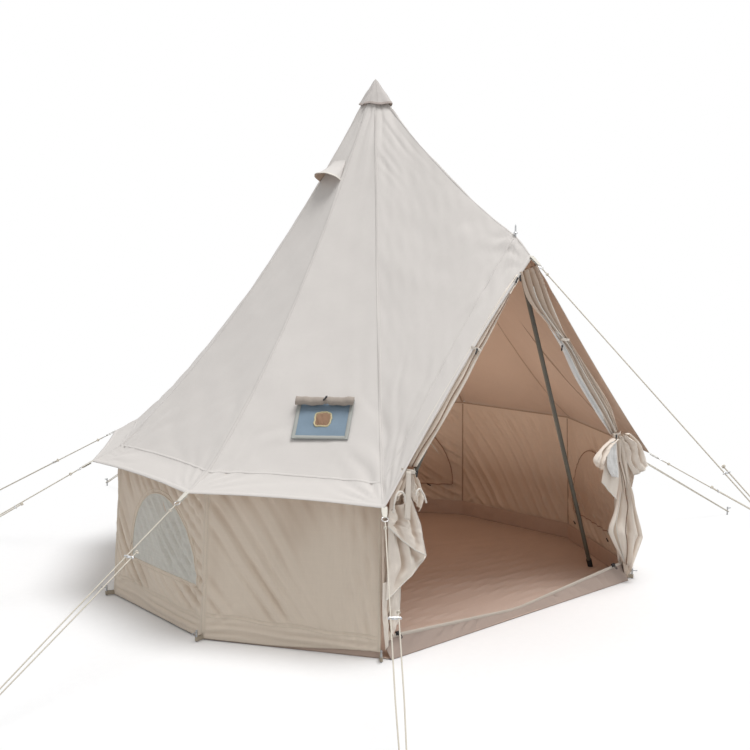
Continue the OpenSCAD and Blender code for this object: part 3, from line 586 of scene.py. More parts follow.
def canopy_grid():
    """One sheet for the whole roof. Column position c runs 0 to 10 round the seams and v runs from the cap
    to the hem. A point is a blend of its two seams at v, less a hem bow of 4w(1-w); then creases are
    rounded, and folds are added along the normals: fans at the eave corners and the door's peak, pleats
    under the cap, and a soft billow."""
    c = []
    for k, n in enumerate(PANEL_COLS):
        t = np.arange(n) / n
        c.append(k + t - 0.5 * np.sin(2 * np.pi * t) / (2 * np.pi))
    c = np.concatenate(c)
    t = np.linspace(0, 1, ROOF_ROWS)
    v = (0.35 * t + 0.65 * (1 - (1 - t) ** 1.6))
    v = v / v[-1]
    panel, w = np.floor(c).astype(int), c - np.floor(c)
    front = (panel == 0) | (panel == 9)
    bow = np.where(front, 0.020, 0.0105) * 4 * w * (1 - w)
    vv = v[:, None] - bow[None] * step_up(v, 0.6, 1.0)[:, None]
    seams = np.stack([seam_point(k, vv) for k in range(11)], 0)
    cols = np.arange(len(c))
    a, b = seams[panel, :, cols], seams[panel + 1, :, cols]
    p = (a * (1 - w)[:, None, None] + b * w[:, None, None]).transpose(1, 0, 2)
    chord = np.linalg.norm(b - a, axis=-1).T
    soft = p
    for _ in range(3):
        soft = 0.25 * np.roll(soft, 1, 1) + 0.5 * soft + 0.25 * np.roll(soft, -1, 1)
    keep = 0.75 * step_up(v, 0.86, 1.0)[:, None, None]
    p = mix(soft, p, keep)
    n = normals(p)
    if n[60, 10] @ np.array([0, 0, 1]) < 0:
        n = -n
    down = np.concatenate([np.zeros((1, len(c))), np.cumsum(np.linalg.norm(np.diff(p, axis=0), axis=-1), 0)])
    up = down[-1] - down
    d = -0.006 * np.sin(np.pi * w)[None] * np.sin(np.pi * np.clip(v, 0, 1))[:, None]
    across = (w - 0.5)[None] * chord
    for k in range(1, 10):
        for q, x in ((k - 1, -(1 - w)[None] * chord), (k, w[None] * chord)):
            here = (panel == q)[None]
            edge_front = (k == 1 and q == 0) or (k == 9 and q == 9)
            f = fan(x, up, 0.0, -0.02, 15 if edge_front else 19, 3 * k + q, 0.14, 0.30, np.pi / 2, 1.1)
            d = d + np.where(here, (0.0060 if edge_front else 0.0066) * f, 0)
    for q in (0, 9):
        x = np.where(q == 0, w[None], -(1 - w)[None]) * chord
        f = fan(x, up, 0.0, -0.03, 16, 60 + q, 0.15, 0.34, np.pi / 2, 1.2)
        slack = pleat(46 * (up + 0.22 * np.abs(x)) + 3 * ripple(x, up, 0.5, 70 + q))
        slack = slack * (0.6 + 0.4 * ripple(x, up, 0.3, 74 + q))
        band = np.exp(-((up - 0.13) / 0.10) ** 2) * slack
        crown = fan(x, up, 0.0, 0.15, 15, 90 + q, 0.05, 0.15, 0.0 if q == 0 else np.pi, 1.0)
        along = pleats(np.abs(x), 0.050, 0.8 * ripple(x, down, 0.5, 95 + q), 0.7)
        along = along * (0.5 + 0.5 * ripple(x, down, 0.22, 97 + q))
        taut = np.exp(-((down - 0.32) / 0.22) ** 2) * step_up(np.abs(x), 0.02, 0.08)
        extra = 0.0045 * f + 0.0030 * band + 0.0050 * crown + 0.0026 * taut * along
        d = d + np.where((panel == q)[None], extra, 0)
    cap_folds = np.exp(-down / 0.34) * step_up(down, 0.03, 0.12)
    d = d + 0.0040 * cap_folds * pleat(13 * c[None] + 9 * down + 1.5 * ripple(across, down, 0.6, 9))
    d = d + 0.0018 * ripple(across + 1.7 * panel[None], down, 0.55, 21) * step_up(up, 0.0, 0.2)
    d = d + 0.0008 * ripple(across * 3 + 2.3 * panel[None], down, 0.22, 33) * step_up(up, 0.0, 0.1)
    return p + n * d[..., None], n, c, v


CANOPY, CANOPY_N, CANOPY_C, CANOPY_V = canopy_grid()


def on_canopy(c, v, lift=0.0):
    """Points on the finished canopy at column position c and v, raised along its normal."""
    c, v, lift = np.broadcast_arrays(np.asarray(c, float) % 10, v, lift)
    cols = len(CANOPY_C)
    x = np.interp(c, np.append(CANOPY_C, 10.0), np.arange(cols + 1))
    y = np.interp(v, CANOPY_V, np.arange(len(CANOPY_V)))
    i, j = np.minimum(y.astype(int), len(CANOPY_V) - 2), x.astype(int) % cols
    k, fy, fx = (j + 1) % cols, (y - i)[..., None], (x - x.astype(int))[..., None]

    def blend(g):
        """The blend of the four grid points around each place."""
        return mix(mix(g[i, j], g[i, k], fx), mix(g[i + 1, j], g[i + 1, k], fx), fy)
    return blend(CANOPY) + unit(blend(CANOPY_N)) * lift[..., None]


def roof_spot(c, r):
    """Origin and across, up-slope and outward directions on the middle of a roof panel at seam radius r."""
    a = corner(c)
    u = (r - TOP_R) / (WALL_TOP_R - TOP_R)
    fall = (WALL_H - TOP_Z - 4 * ROOF_SAG * (1 - 2 * u)) / (WALL_TOP_R - TOP_R)
    tilt = math.atan(-fall / math.cos(STEP / 2))
    back = -np.array([math.sin(a), -math.cos(a), 0])
    across = np.array([math.cos(a), math.sin(a), 0])
    up = back * math.cos(tilt) + np.array([0, 0, math.sin(tilt)])
    return -back * r * math.cos(STEP / 2) + np.array([0, 0, roof_z(r)]), across, up, np.cross(across, up)


def stove_spot():
    """Middle and directions of the stove panel, which is sewn on a little askew."""
    o, x, y, n = roof_spot(7.5, JACK_R)
    return (o + x * JACK_SHIFT, x * math.cos(JACK_TURN) + y * math.sin(JACK_TURN),
            y * math.cos(JACK_TURN) - x * math.sin(JACK_TURN), n)


def off_the_hole(middles):
    """Cloth that isn't behind the stove panel's pipe hole."""
    return np.linalg.norm(middles - stove_spot()[0], axis=1) > JACK_HOLE + 0.022


ROOF_NODES = [f"roof_panel_{k}" for k in range(1, WALLS + 1)] + ["roof_front_right", "roof_front_left"]
# Rise of a sewn tape's section, from edge to edge
PLATEAU = np.array([-0.2, 1, 1, 1, -0.2])

canopy = Pile().grid(CANOPY, closed=True, flip=True, keep=off_the_hole).make("canopy", [ROOF_OUT, ROOF_IN])
thicken(canopy, ROOF_T, inner=1)
settle(canopy, "roof_canvas", *ROOF_NODES)


def seam_tapes():
    """Flat felled seams: a tape along every seam, its section a low plateau; and the turned edges that show
    inside."""
    pile, inner = Pile(), Pile()
    v = np.concatenate([np.linspace(0.012, 0.9, 90), np.linspace(0.905, 0.985, 16)])
    across = np.array([-1.0, -0.93, -0.45, 0.0, 0.45, 0.93, 1.0])
    lift = np.array([-0.0002, 0.0011, 0.0012, 0.0012, 0.0012, 0.0011, -0.0002])
    for k in range(10):
        here = seam_point(k, v)
        left = np.linalg.norm(seam_point(k - 1 if k else 9, v) - here, axis=-1)
        right = np.linalg.norm(seam_point(k + 1, v) - here, axis=-1)
        half = np.minimum(0.0095, 0.25 * np.minimum(left, right))
        for target, size, rise, flip in ((pile, 1.0, lift, True), (inner, 0.55, -0.0018 - lift, False)):
            offset = size * half[:, None] * across[None]
            c = k + np.where(offset < 0, offset / left[:, None], offset / right[:, None])
            uv = np.stack([offset, np.broadcast_to((v * 2.2)[:, None], offset.shape)], -1)
            target.grid(on_canopy(c, v[:, None], rise[None]), flip=flip, uv=uv)
    return pile.make("roof_seams", [ROOF_TAPE]), inner.make("roof_inner_seams", [SEAM_IN])


def hem_tape():
    """The eave's turned hem and the stitched line over the wall: plateaus that run round the canopy."""
    pile = Pile()
    c = np.linspace(0, 10, 401)[:-1]
    hem = on_canopy(c, 0.98)
    run = np.cumsum(np.linalg.norm(np.diff(hem, axis=0, prepend=hem[-1:]), axis=1))
    s = np.array([0.0, 0.06, 0.5, 0.94, 1.0])
    for v0, v1, rise in ((0.984, 0.9995, 0.0012), (0.8965, 0.9035, 0.0011)):
        p = on_canopy(c[None], mix(v0, v1, s)[:, None], (rise * PLATEAU)[:, None])
        uv = np.stack(np.broadcast_arrays(((s - 0.5) * 0.022)[:, None], run[None]), -1)
        pile.grid(p, closed=True, flip=True, uv=uv)
    return pile.make("eave_hem_tapes", [HEM_TAPE])


roof_seams, inner_seams = seam_tapes()
eave_hem = hem_tape()
for tape in (roof_seams, inner_seams, eave_hem):
    settle(tape, "roof_canvas")
declare(canopy, "stretched", "centre_pole_upper", "frame_crown", trims=[roof_seams, inner_seams, eave_hem])


def cap_rim(angle):
    """Radius and height of the cap's hem: level, and further out over the ridge, which falls less
    steeply."""
    off = np.abs(np.angle(np.exp(1j * angle))) / DOOR_HALF
    r = CAP_R * (1 + 0.40 * np.exp(-(off / 0.6) ** 2))
    u = (r - TOP_R) / (CROWN_Y - TOP_R)
    ridge = mix(TOP_Z, CROWN_Z, u) - RIDGE_SAG * 4 * u * (1 - u)
    return r, np.maximum(CAP_Z, mix(ridge, roof_z(r), np.minimum(1, off)) + 0.008)


def make_cap():
    """A cone of cloth from the tip to a wavy hem: radius grows with t, and the hem waves with the
    bearing."""
    t = np.linspace(0.02, 1, 30)[:, None]
    a = np.linspace(0, 2 * np.pi, 128, endpoint=False)[None]
    rim_r, rim_z = cap_rim(a)
    wave = 0.0030 * np.sin(8 * a + 0.6) * t ** 4 + 0.0020 * np.sin(13 * a + 2) * t ** 3
    r = rim_r * (t + 0.03 * np.sin(np.pi * t)) + wave + 0.0018 * np.sin(5 * a + 9 * t) * np.sin(np.pi * t)
    tip = CAP_TIP_Z + 0.006
    z = tip + (rim_z + 0.006 - tip) * t + 0.0035 * np.sin(5 * a + 1) * t ** 5
    cap = grid_piece("cap", polar(a, r, z), [CAP, ROOF_IN], closed=True, flip=True)
    thicken(cap, WALL_T, inner=1)
    trim = Pile()
    for k in range(8):
        j = int(round((2 * np.pi * k / 8 + 0.2) / (2 * np.pi) * 128)) % 128
        trim.tube(polar(a[0][j], r[2:, j] + 0.0004, z[2:, j]), 0.0011, sides=6)
    edge = Pile()
    low = np.array([-0.004, -0.0005, 0.0005, 0.007])[:, None]
    out = np.array([0.0004, 0.0018, 0.0018, 0.0004])[:, None]
    edge.grid(polar(a, r[-1:] + out - 0.55 * low, z[-1:] + low), closed=True)
    return cap, trim.make("cap_piping", [CAP]), edge.make("cap_hem", [CAP_EDGE])


cap, cap_trim, cap_edge = make_cap()
settle(cap, "roof_canvas", "roof_cap")
settle(cap_trim, "roof_canvas")
settle(cap_edge, "roof_canvas")
declare(cap, "draped", "pole_finial", "canopy", trims=[cap_trim, cap_edge])


# Walls

WALL_SLOPE = math.hypot(WALL_H, (BASE_R - WALL_TOP_R) * math.cos(STEP / 2))
FOOT_HALF, HEAD_HALF = BASE_R * math.sin(STEP / 2), WALL_TOP_R * math.sin(STEP / 2)


def wall_frame(i):
    """Foot middle, across, up and outward directions of wall i (0 to 7)."""
    a = corner(i) + STEP / 2
    lean = math.atan2((BASE_R - WALL_TOP_R) * math.cos(STEP / 2), WALL_H)
    out_flat = np.array([math.sin(a), -math.cos(a), 0])
    across = np.array([math.cos(a), math.sin(a), 0])
    up = np.array([0, 0, math.cos(lean)]) - out_flat * math.sin(lean)
    out = out_flat * math.cos(lean) + np.array([0, 0, math.sin(lean)])
    return out_flat * BASE_R * math.cos(STEP / 2), across, up, out


def wall_half(y):
    """Half the width of a wall at y up its slope: a blend from foot to head, less half a seam."""
    return mix(FOOT_HALF, HEAD_HALF, y / WALL_SLOPE) - 0.0015


WALL_TOP, WALL_FOOT = WALL_SLOPE - 0.004, 0.006
WALL_CUT = (0.87, 0.77)


def wall_fold(i, x, y):
    """How far wall i stands out at (x, y): long slanting folds, gathers towards the doorway, and slack
    along its foot. The right-hand walls mirror the left-hand ones, so s runs towards the doorway on
    both."""
    s = x if i >= 4 else -x
    half = wall_half(y)
    edge = step_up(half - np.abs(x), 0.0, 0.05)
    foot = step_up(y, 0.0, 0.04)
    head = step_up(WALL_SLOPE - y, 0.0, 0.10)
    drift = ripple(x, y, 0.9, 11 + i)
    plain = i % 2 == 1
    far_slant, near_slant = (54.0, 66.0) if plain else (47.0, 29.0)
    slant = np.radians(mix(far_slant, near_slant, np.clip((s + 0.4) / 0.8, 0, 1)))
    q = s * np.sin(slant) + y * np.cos(slant)
    if plain:
        where = mix(1.0, 0.22 if i == 7 else 0.7, step_up(s, -0.10, 0.20))
    else:
        where = 1.0 - 0.5 * step_up(y, 0.35, 0.6)
    pitch, depth = (0.062, 0.0085) if plain else (0.053, 0.0095)
    uneven = 0.70 + 0.55 * ripple(q, 0 * q, 0.16, 31 + i) + 0.25 * ripple(x, y, 0.7, 35 + i)
    uneven = np.clip(uneven, 0.10, 1.4)
    long = pleats(q, pitch, 0.8 * drift, 0.8) + 0.5 * pleats(q, 1.62 * pitch, drift + i, 0.6)
    long = long * uneven
    d = depth * long * where * step_up(y, 0.06, 0.16)
    d = d + 0.0045 * ripple(x * 2.0, y, 0.75, 71 + i)
    d = d + 0.0070 * fan(s, y, -(half + 0.02), 0.80, 15, 41 + i, 0.12, 0.26, math.radians(-62), 0.4)
    d = d + 0.0055 * fan(s, y, -half, 0.06, 13, 51 + i, 0.10, 0.20, math.radians(28), 0.5)
    gather = pleats(s + 0.12 * y, 0.052, 1.2 * ripple(x, y, 0.8, 81 + i))
    d = d + 0.0030 * step_up(s, 0.06, 0.24) * gather * uneven
    hem = np.exp(-((y - 0.05) / 0.04) ** 2)
    d = d + 0.0046 * hem * pleats(y, 0.036, 4 * s + 1.6 * ripple(x, y, 0.4, 91 + i))
    d = mix(d, np.maximum(d, -0.002), step_up(0.12 - y, 0.0, 0.03))
    if not plain:
        bx, by = x - askew(i, y), y - ARCH_MID
        ex, ey = arch_edge(np.arctan2(by, bx))
        from_rim = np.hypot(bx, by) - np.hypot(ex, ey - ARCH_MID)
        d = d * (1 - 0.8 * np.exp(-(from_rim / 0.028) ** 2))
    return d * (0.2 + 0.8 * edge) * (0.35 + 0.65 * foot) * head


def wall_point(i, x, y, lift=0.0):
    """Points of wall i's finished cloth at (x, y) in its own plane."""
    return in_frame(wall_frame(i), x, y, np.asarray(wall_fold(i, x, y) + lift))


ARCH_MID = WINDOW_SILL + 0.13
NET_LEAN = math.radians(51)


def arch_edge(angle, grow=0.0):
    """A window's outline on a ray from its middle: the nearer of its sill and its half ellipse."""
    dx, dy = np.cos(angle), np.sin(angle)
    a, h, sill = WINDOW_W / 2 + grow, WINDOW_H + grow, WINDOW_SILL - grow
    up = ARCH_MID - WINDOW_SILL
    k2, k1, k0 = (dx / a) ** 2 + (dy / h) ** 2, up * dy / h ** 2, (up / h) ** 2 - 1
    round_r = (-k1 + np.sqrt(k1 ** 2 - k2 * k0)) / k2
    low_r = np.where(dy < -1e-6, (ARCH_MID - sill) / np.maximum(-dy, 1e-6), 9.0)
    r = np.minimum(round_r, low_r)
    return r * dx, ARCH_MID + r * dy


def askew(i, y):
    """How far wall i's window is pulled aside at height y."""
    return (1 if i >= 4 else -1) * (0.175 if i == 6 else 0.06) * (WINDOW_SILL + WINDOW_H - y)


def foot_line(i, x):
    """Height of wall i's lower edge: it lifts towards the left door corner, where the floor's edge
    shows."""
    if i != 7:
        return np.full(np.shape(x), WALL_FOOT)
    return mix(WALL_FOOT, 0.030, step_up(x, -0.15, FOOT_HALF))


def arch_angles(count, *marks):
    """Ray angles round a window, with the corners of its sill and any other marks among them."""
    corners = [math.atan2(WINDOW_SILL - ARCH_MID, side * WINDOW_W / 2) for side in (-1, 1)]
    even = np.linspace(-np.pi, np.pi, count, endpoint=False)
    return np.unique(np.round(np.concatenate([even, corners, marks]), 6))


def wall_grid(i):
    """Grid of wall i in its plane. A plain wall is a ruled rectangle; a windowed one is spread on rays from
    the arch's edge to the wall's edge."""
    if i % 2:
        s, t = np.meshgrid(np.linspace(-1, 1, 150), np.linspace(1, 0, 124))
        y = mix(foot_line(i, s * FOOT_HALF), WALL_TOP, t)
        return s * wall_half(y), y
    corners = [math.atan2(y - ARCH_MID, side * wall_half(y))
               for y in (WALL_TOP, WALL_FOOT) for side in (-1, 1)]
    a = arch_angles(372, *corners)
    dx, dy = np.cos(a), np.sin(a)
    slope = (HEAD_HALF - FOOT_HALF) / WALL_SLOPE
    side_r = wall_half(ARCH_MID) / np.maximum(np.abs(dx) - slope * dy, 1e-6)
    top_r = np.where(dy > 1e-6, (WALL_TOP - ARCH_MID) / np.maximum(dy, 1e-6), 99)
    low_r = np.where(dy < -1e-6, (ARCH_MID - WALL_FOOT) / np.maximum(-dy, 1e-6), 99)
    r = np.minimum(np.minimum(np.abs(side_r), top_r), low_r)
    ix, iy = arch_edge(a)
    t = np.linspace(1, 0, 60)[:, None]
    return mix((ix + askew(i, iy))[None], (r * dx)[None], t), mix(iy[None], (ARCH_MID + r * dy)[None], t)


def strip_path(i, x, y, half, lift, direction):
    """A tape on wall i along a path in its plane, with a five-point plateau section across a direction."""
    across = np.array([-1.0, -0.9, 0.0, 0.9, 1.0])
    rise = lift * PLATEAU
    px = x[:, None] + half * across[None] * direction[0]
    py = y[:, None] + half * across[None] * direction[1]
    return wall_point(i, px, py, rise[None])


def wall_tapes():
    """Tapes outside: over the wall corners, round the door's edges, and the stitched hem along the foot.
    Tapes inside: over the corners, and along the eave, where wall and roof are sewn together."""
    pile, inner = Pile(), Pile()
    y = np.linspace(0.03, WALL_TOP - 0.012, 70)
    half = wall_half(y)
    for k in range(WALLS + 1):
        for target, lift, width, flip in ((pile, 0.0013, 0.013, False), (inner, -0.0026, 0.003, True)):
            edges = ((width + 0.001, lift / 3), (width, lift), (0.001, lift))
            cols = []
            if k > 0:
                cols += [wall_point(k - 1, half - b, y, c) for b, c in edges]
            else:
                cols += [wall_point(0, -half - 0.001, y, -lift)]
            if k < WALLS:
                cols += [wall_point(k, b - half, y, c) for b, c in edges[::-1]]
            else:
                cols += [wall_point(7, half + 0.001, y, -lift)]
            target.grid(np.stack(cols, 1), flip=flip)
    for i in range(WALLS):
        s = np.linspace(-1, 1, 120)
        toward = s if i >= 4 else -s
        height = mix(0.108, 0.080, (toward + 1) / 2) + 0.004 * np.sin(9 * s + i)
        x = s * (wall_half(height) - 0.014)
        for gap in (0.0, 0.016):
            pile.grid(strip_path(i, x, height + gap, 0.0030, 0.0011, (0, 1)), flip=True)
        top = np.linspace(WALL_TOP - 0.008, WALL_TOP + 0.0005, 4)[:, None]
        inner.grid(wall_point(i, s[None] * wall_half(top), top + 0 * s, -0.0030))
    return pile.make("wall_tapes", [WALL_TAPE]), inner.make("wall_inner_tapes", [SEAM_IN])


tapes, inner_tapes = wall_tapes()
settle(tapes, "wall_canvas")
settle(inner_tapes, "wall_canvas")
for i in range(WALLS):
    plain = i % 2 == 1
    gx, gy = wall_grid(i)
    # Painted shade: the wall is darkened where its cloth dips into a fold
    hollow = step_up(-wall_fold(i, gx, gy), -0.001, 0.012)
    wall = Pile().grid(wall_point(i, gx, gy), closed=not plain, flip=plain, uv=np.stack([gx, gy], -1),
                       hollow=hollow)
    wall = thicken(wall.make(f"wall_cloth_{i + 1}", [WALL_OUT, WALL_IN]), WALL_T, inner=1)
    settle(wall, "wall_canvas", f"wall_panel_{i + 1}")
    trims = [tapes, inner_tapes] if i == 7 else []
    declare(wall, "hung", "canopy", trims=trims, cut=None if plain else WALL_CUT)


def make_windows():
    """Netting in each arch, gathered in slanting pleats, its taped edge, and the closed cover behind it."""
    net, tape, cover, zips = Pile(), Pile(), Pile(), Pile()
    a = arch_angles(200)
    t = np.linspace(0.004, 1, 44)[:, None]
    for i in range(0, WALLS, 2):
        spot = wall_frame(i)
        ix, iy = arch_edge(a)
        y = mix(ARCH_MID, iy[None], t)
        x = t * ix[None] + askew(i, y)
        s = x if i >= 4 else -x
        rim = step_up(1 - t, 0.0, 0.10)
        lean = s * math.sin(NET_LEAN) + y * math.cos(NET_LEAN)
        folds = pleats(lean, 0.045, 0.9 * ripple(x, y, 0.6, 100 + i), 0.8)
        folds = folds * (0.7 + 0.5 * ripple(lean, 0 * y, 0.13, 106 + i))
        d = wall_fold(i, x, y) * mix(1.0, 0.5, rim) + 0.0058 * rim * folds - 0.0008
        net.grid(in_frame(spot, x, y, d), closed=True, uv=np.stack([x, y], -1))
        for grow, lift, size in ((0.0, 0.0008, 0.0030), (0.016, 0.0004, 0.0022)):
            ex, ey = arch_edge(a, grow)
            ring = wall_point(i, ex + askew(i, ey), ey, lift)
            tape.tube(np.concatenate([ring, ring[:1]]), size, sides=8, cap=False)
        kx, ky = arch_edge(a, 0.026)
        ky = mix(ARCH_MID, ky[None], t)
        kx = t * kx[None] + askew(i, ky)
        swell = 0.0035 * ripple(kx * 2, ky, 0.4, 130 + i)
        swell = swell + 0.0025 * pleats(kx, 0.09, 2 * ripple(kx, ky, 0.5, 140 + i))
        inside = np.minimum(wall_fold(i, kx, ky), 0) - 0.0075 + swell * step_up(1 - t, 0, 0.15) * 0.8
        inside = np.minimum(inside, d - 0.003)
        cover.grid(in_frame(spot, kx, ky, inside), closed=True, flip=True, uv=np.stack([kx, ky], -1))
        edge = in_frame(spot, kx[-1], ky[-1], inside[-1] - 0.0005)
        zips.tube(np.concatenate([edge, edge[:1]]), 0.0032, sides=8, cap=False)
    return (net.make("window_netting", [NETTING]), tape.make("window_edging", [WALL_TAPE]),
            cover.make("window_cover_cloth", [COVER]), zips.make("window_zips", [COVER_ZIP]))


netting, edging, covers, cover_zips = make_windows()
thicken(netting, NET_T)
thicken(covers, COVER_T)
settle(netting, "netting", "window_meshes")
settle(edging, "wall_canvas")
settle(covers, "wall_canvas", "window_covers")
settle(cover_zips, "floor_cloth")
declare(netting, "stretched", "wall_cloth_1", trims=[edging], cut=(WINDOW_W + 0.06, 4 * (WINDOW_H + 0.03)))
declare(covers, "hung", "wall_cloth_1", trims=[cover_zips], cut=(WINDOW_W + 0.08, 4 * (WINDOW_H + 0.06)))


# Floor

TUB_R = BASE_R - (BASE_R - WALL_TOP_R) * TUB_H / WALL_H - 0.0036
SILL_Y = -TUB_R * math.cos(DOOR_HALF)
SILL_HALF = TUB_R * math.sin(DOOR_HALF)
SILL_FOOT_Y, SILL_FOOT_HALF = SILL_Y - SILL_LEAN, SILL_HALF - SILL_LEAN / 3
SILL_SLOPE = math.atan2(SILL_END_H - SILL_H, SILL_FOOT_HALF - SILL_MID)


def sill_top(x):
    """Height of the sill's edge: level in its middle, rising in two straight runs to its ends."""
    return SILL_H + np.maximum(0, np.abs(x) - SILL_MID) * math.tan(SILL_SLOPE)


def floor_edge(angle):
    """Radius of the floor's outline at a plan angle: eight walls, the doorway's lip and its short ends."""
    a = np.angle(np.exp(1j * np.asarray(angle)))
    side = np.abs(a)
    local = np.mod(np.mod(a, 2 * np.pi) - DOOR_HALF, STEP) - STEP / 2
    wall = TUB_R * math.cos(STEP / 2) / np.cos(local)
    lip = -SILL_FOOT_Y / np.maximum(np.cos(a), 0.2)
    lip_end = math.atan2(SILL_FOOT_HALF, -SILL_FOOT_Y)
    end = mix(math.hypot(SILL_FOOT_HALF, SILL_FOOT_Y), TUB_R, (side - lip_end) / (DOOR_HALF - lip_end))
    return np.where(side < lip_end, lip, np.where(side < DOOR_HALF, end, wall))


def make_floor():
    """The floor as rings inside its outline, with slack folds that run across the doorway."""
    a = np.linspace(0, 2 * np.pi, 360, endpoint=False)[None]
    t = np.linspace(0.001, 1, 110)[:, None]
    r = floor_edge(a) * t - 0.004 * t
    x, y = r * np.sin(a), -r * np.cos(a)
    near = np.exp(-((y + 0.6) / 0.6) ** 2)
    sag = 0.0052 * near * pleats(y + 0.22 * x, 0.105, 2.2 * ripple(x, y, 0.8, 200))
    sag = sag + 0.0030 * near * pleats(y - 0.15 * x, 0.048, 1.6 * ripple(x, y, 0.5, 207))
    z = 0.0042 + np.maximum(0, sag + 0.0022 * ripple(x, y, 0.7, 203)) * step_up(1 - t, 0, 0.06)
    z *= 1 - 0.9 * np.exp(-((x * x + y * y) / 0.05 ** 2))
    return grid_piece("floor", np.stack([x, y, z], -1), [FLOOR], closed=True, uv=np.stack([x, y], -1))


def make_upstands():
    """The floor's upstand round the walls: a strip whose lean and folds follow the plan angle."""
    a = np.linspace(DOOR_HALF, 2 * np.pi - DOOR_HALF, 460)[None]
    t = np.linspace(0, 1, 14)[:, None]
    r0 = floor_edge(a)
    x, y = r0 * np.sin(a), -r0 * np.cos(a)
    run = np.cumsum(np.hypot(np.diff(x, prepend=x[:, :1]), np.diff(y, prepend=y[:, :1])), 1)
    fold = 0.0022 * pleats(run, 0.07, 2 * ripple(run, 0 * run, 0.4, 220))
    fold = fold + 0.0025 * ripple(run, t * 0.1, 0.16, 221)
    r = r0 - 0.001 - 0.006 * t - 1.2 * np.abs(fold) * np.sin(np.pi * t)
    z = 0.0005 + t * (TUB_H + 0.016)
    p = np.stack([r * np.sin(a) + 0 * t, -r * np.cos(a) + 0 * t, z + 0 * a], -1)
    return grid_piece("upstand", p, [UPSTAND], flip=True, uv=np.stack([run + 0 * t, z + 0 * run], -1))


def make_sill():
    """The doorway's lip: it leans back from the ground, stands upright below its bound edge, where the zip
    sliders run, and has slack folds across its front."""
    x = np.linspace(-1, 1, 240)[None] * (SILL_FOOT_HALF - 0.006)
    t = np.linspace(0, 1, 26)[:, None]
    top = sill_top(x)
    z = mix(0.001, top, t ** 1.1)
    upright = 0.011
    below = np.maximum(top - z - upright, 0)
    lean = 1 - (below / (top - upright)) ** 1.35
    slack = np.sin(np.pi * t) ** 0.8 * step_up(below, 0.0, 0.018)
    folds = 0.0040 * pleats(np.abs(x) / 0.085 + 0.8 * t, 1.0, 1.4 * ripple(x, t * 0.2, 0.3, 230), 0.8)
    folds = folds * (0.5 + 0.5 * ripple(x, 0 * t, 0.25, 231))
    folds = folds + 0.0030 * pleats(np.abs(x) / 0.19 + 0.5 * t, 1.0, ripple(x, t * 0.2, 0.4, 232))
    y = mix(SILL_FOOT_Y + 0.002, SILL_Y + 0.002, lean) - folds * slack
    p = np.stack([x + 0 * t, y, z], -1)
    lip = grid_piece("sill_lip", p, [LIP], uv=np.stack([x + 0 * t, z], -1))
    drop = np.array([0.016, 0.015, 0.001, -0.0008, 0.001, 0.015, 0.016])[:, None]
    out = np.array([-0.0008, -0.0016, -0.0016, 0.0, 0.0016, 0.0016, 0.0008])[:, None]
    edge = np.stack([x + 0 * drop, SILL_Y + 0.002 + out + 0 * x, top - drop], -1)
    return thicken(lip, COVER_T, offset=0.0), grid_piece("sill_binding", edge, [LIP_EDGE])


floor_sheet, upstand = make_floor(), make_upstands()
sill_lip, sill_binding = make_sill()
thicken(upstand, COVER_T)
settle(floor_sheet, "floor_cloth", "groundsheet")
settle(upstand, "floor_cloth", "groundsheet_upstands")
settle(sill_lip, "floor_cloth")
settle(sill_binding, "flap_cloth")
declare(floor_sheet, "laid", "groundsheet", cut=(2 * TUB_R, TUB_R * (1 + math.cos(DOOR_HALF))))
declare(upstand, "hung", "floor")
declare(sill_lip, "hung", "floor", trims=[sill_binding])


# Stove panel and vents

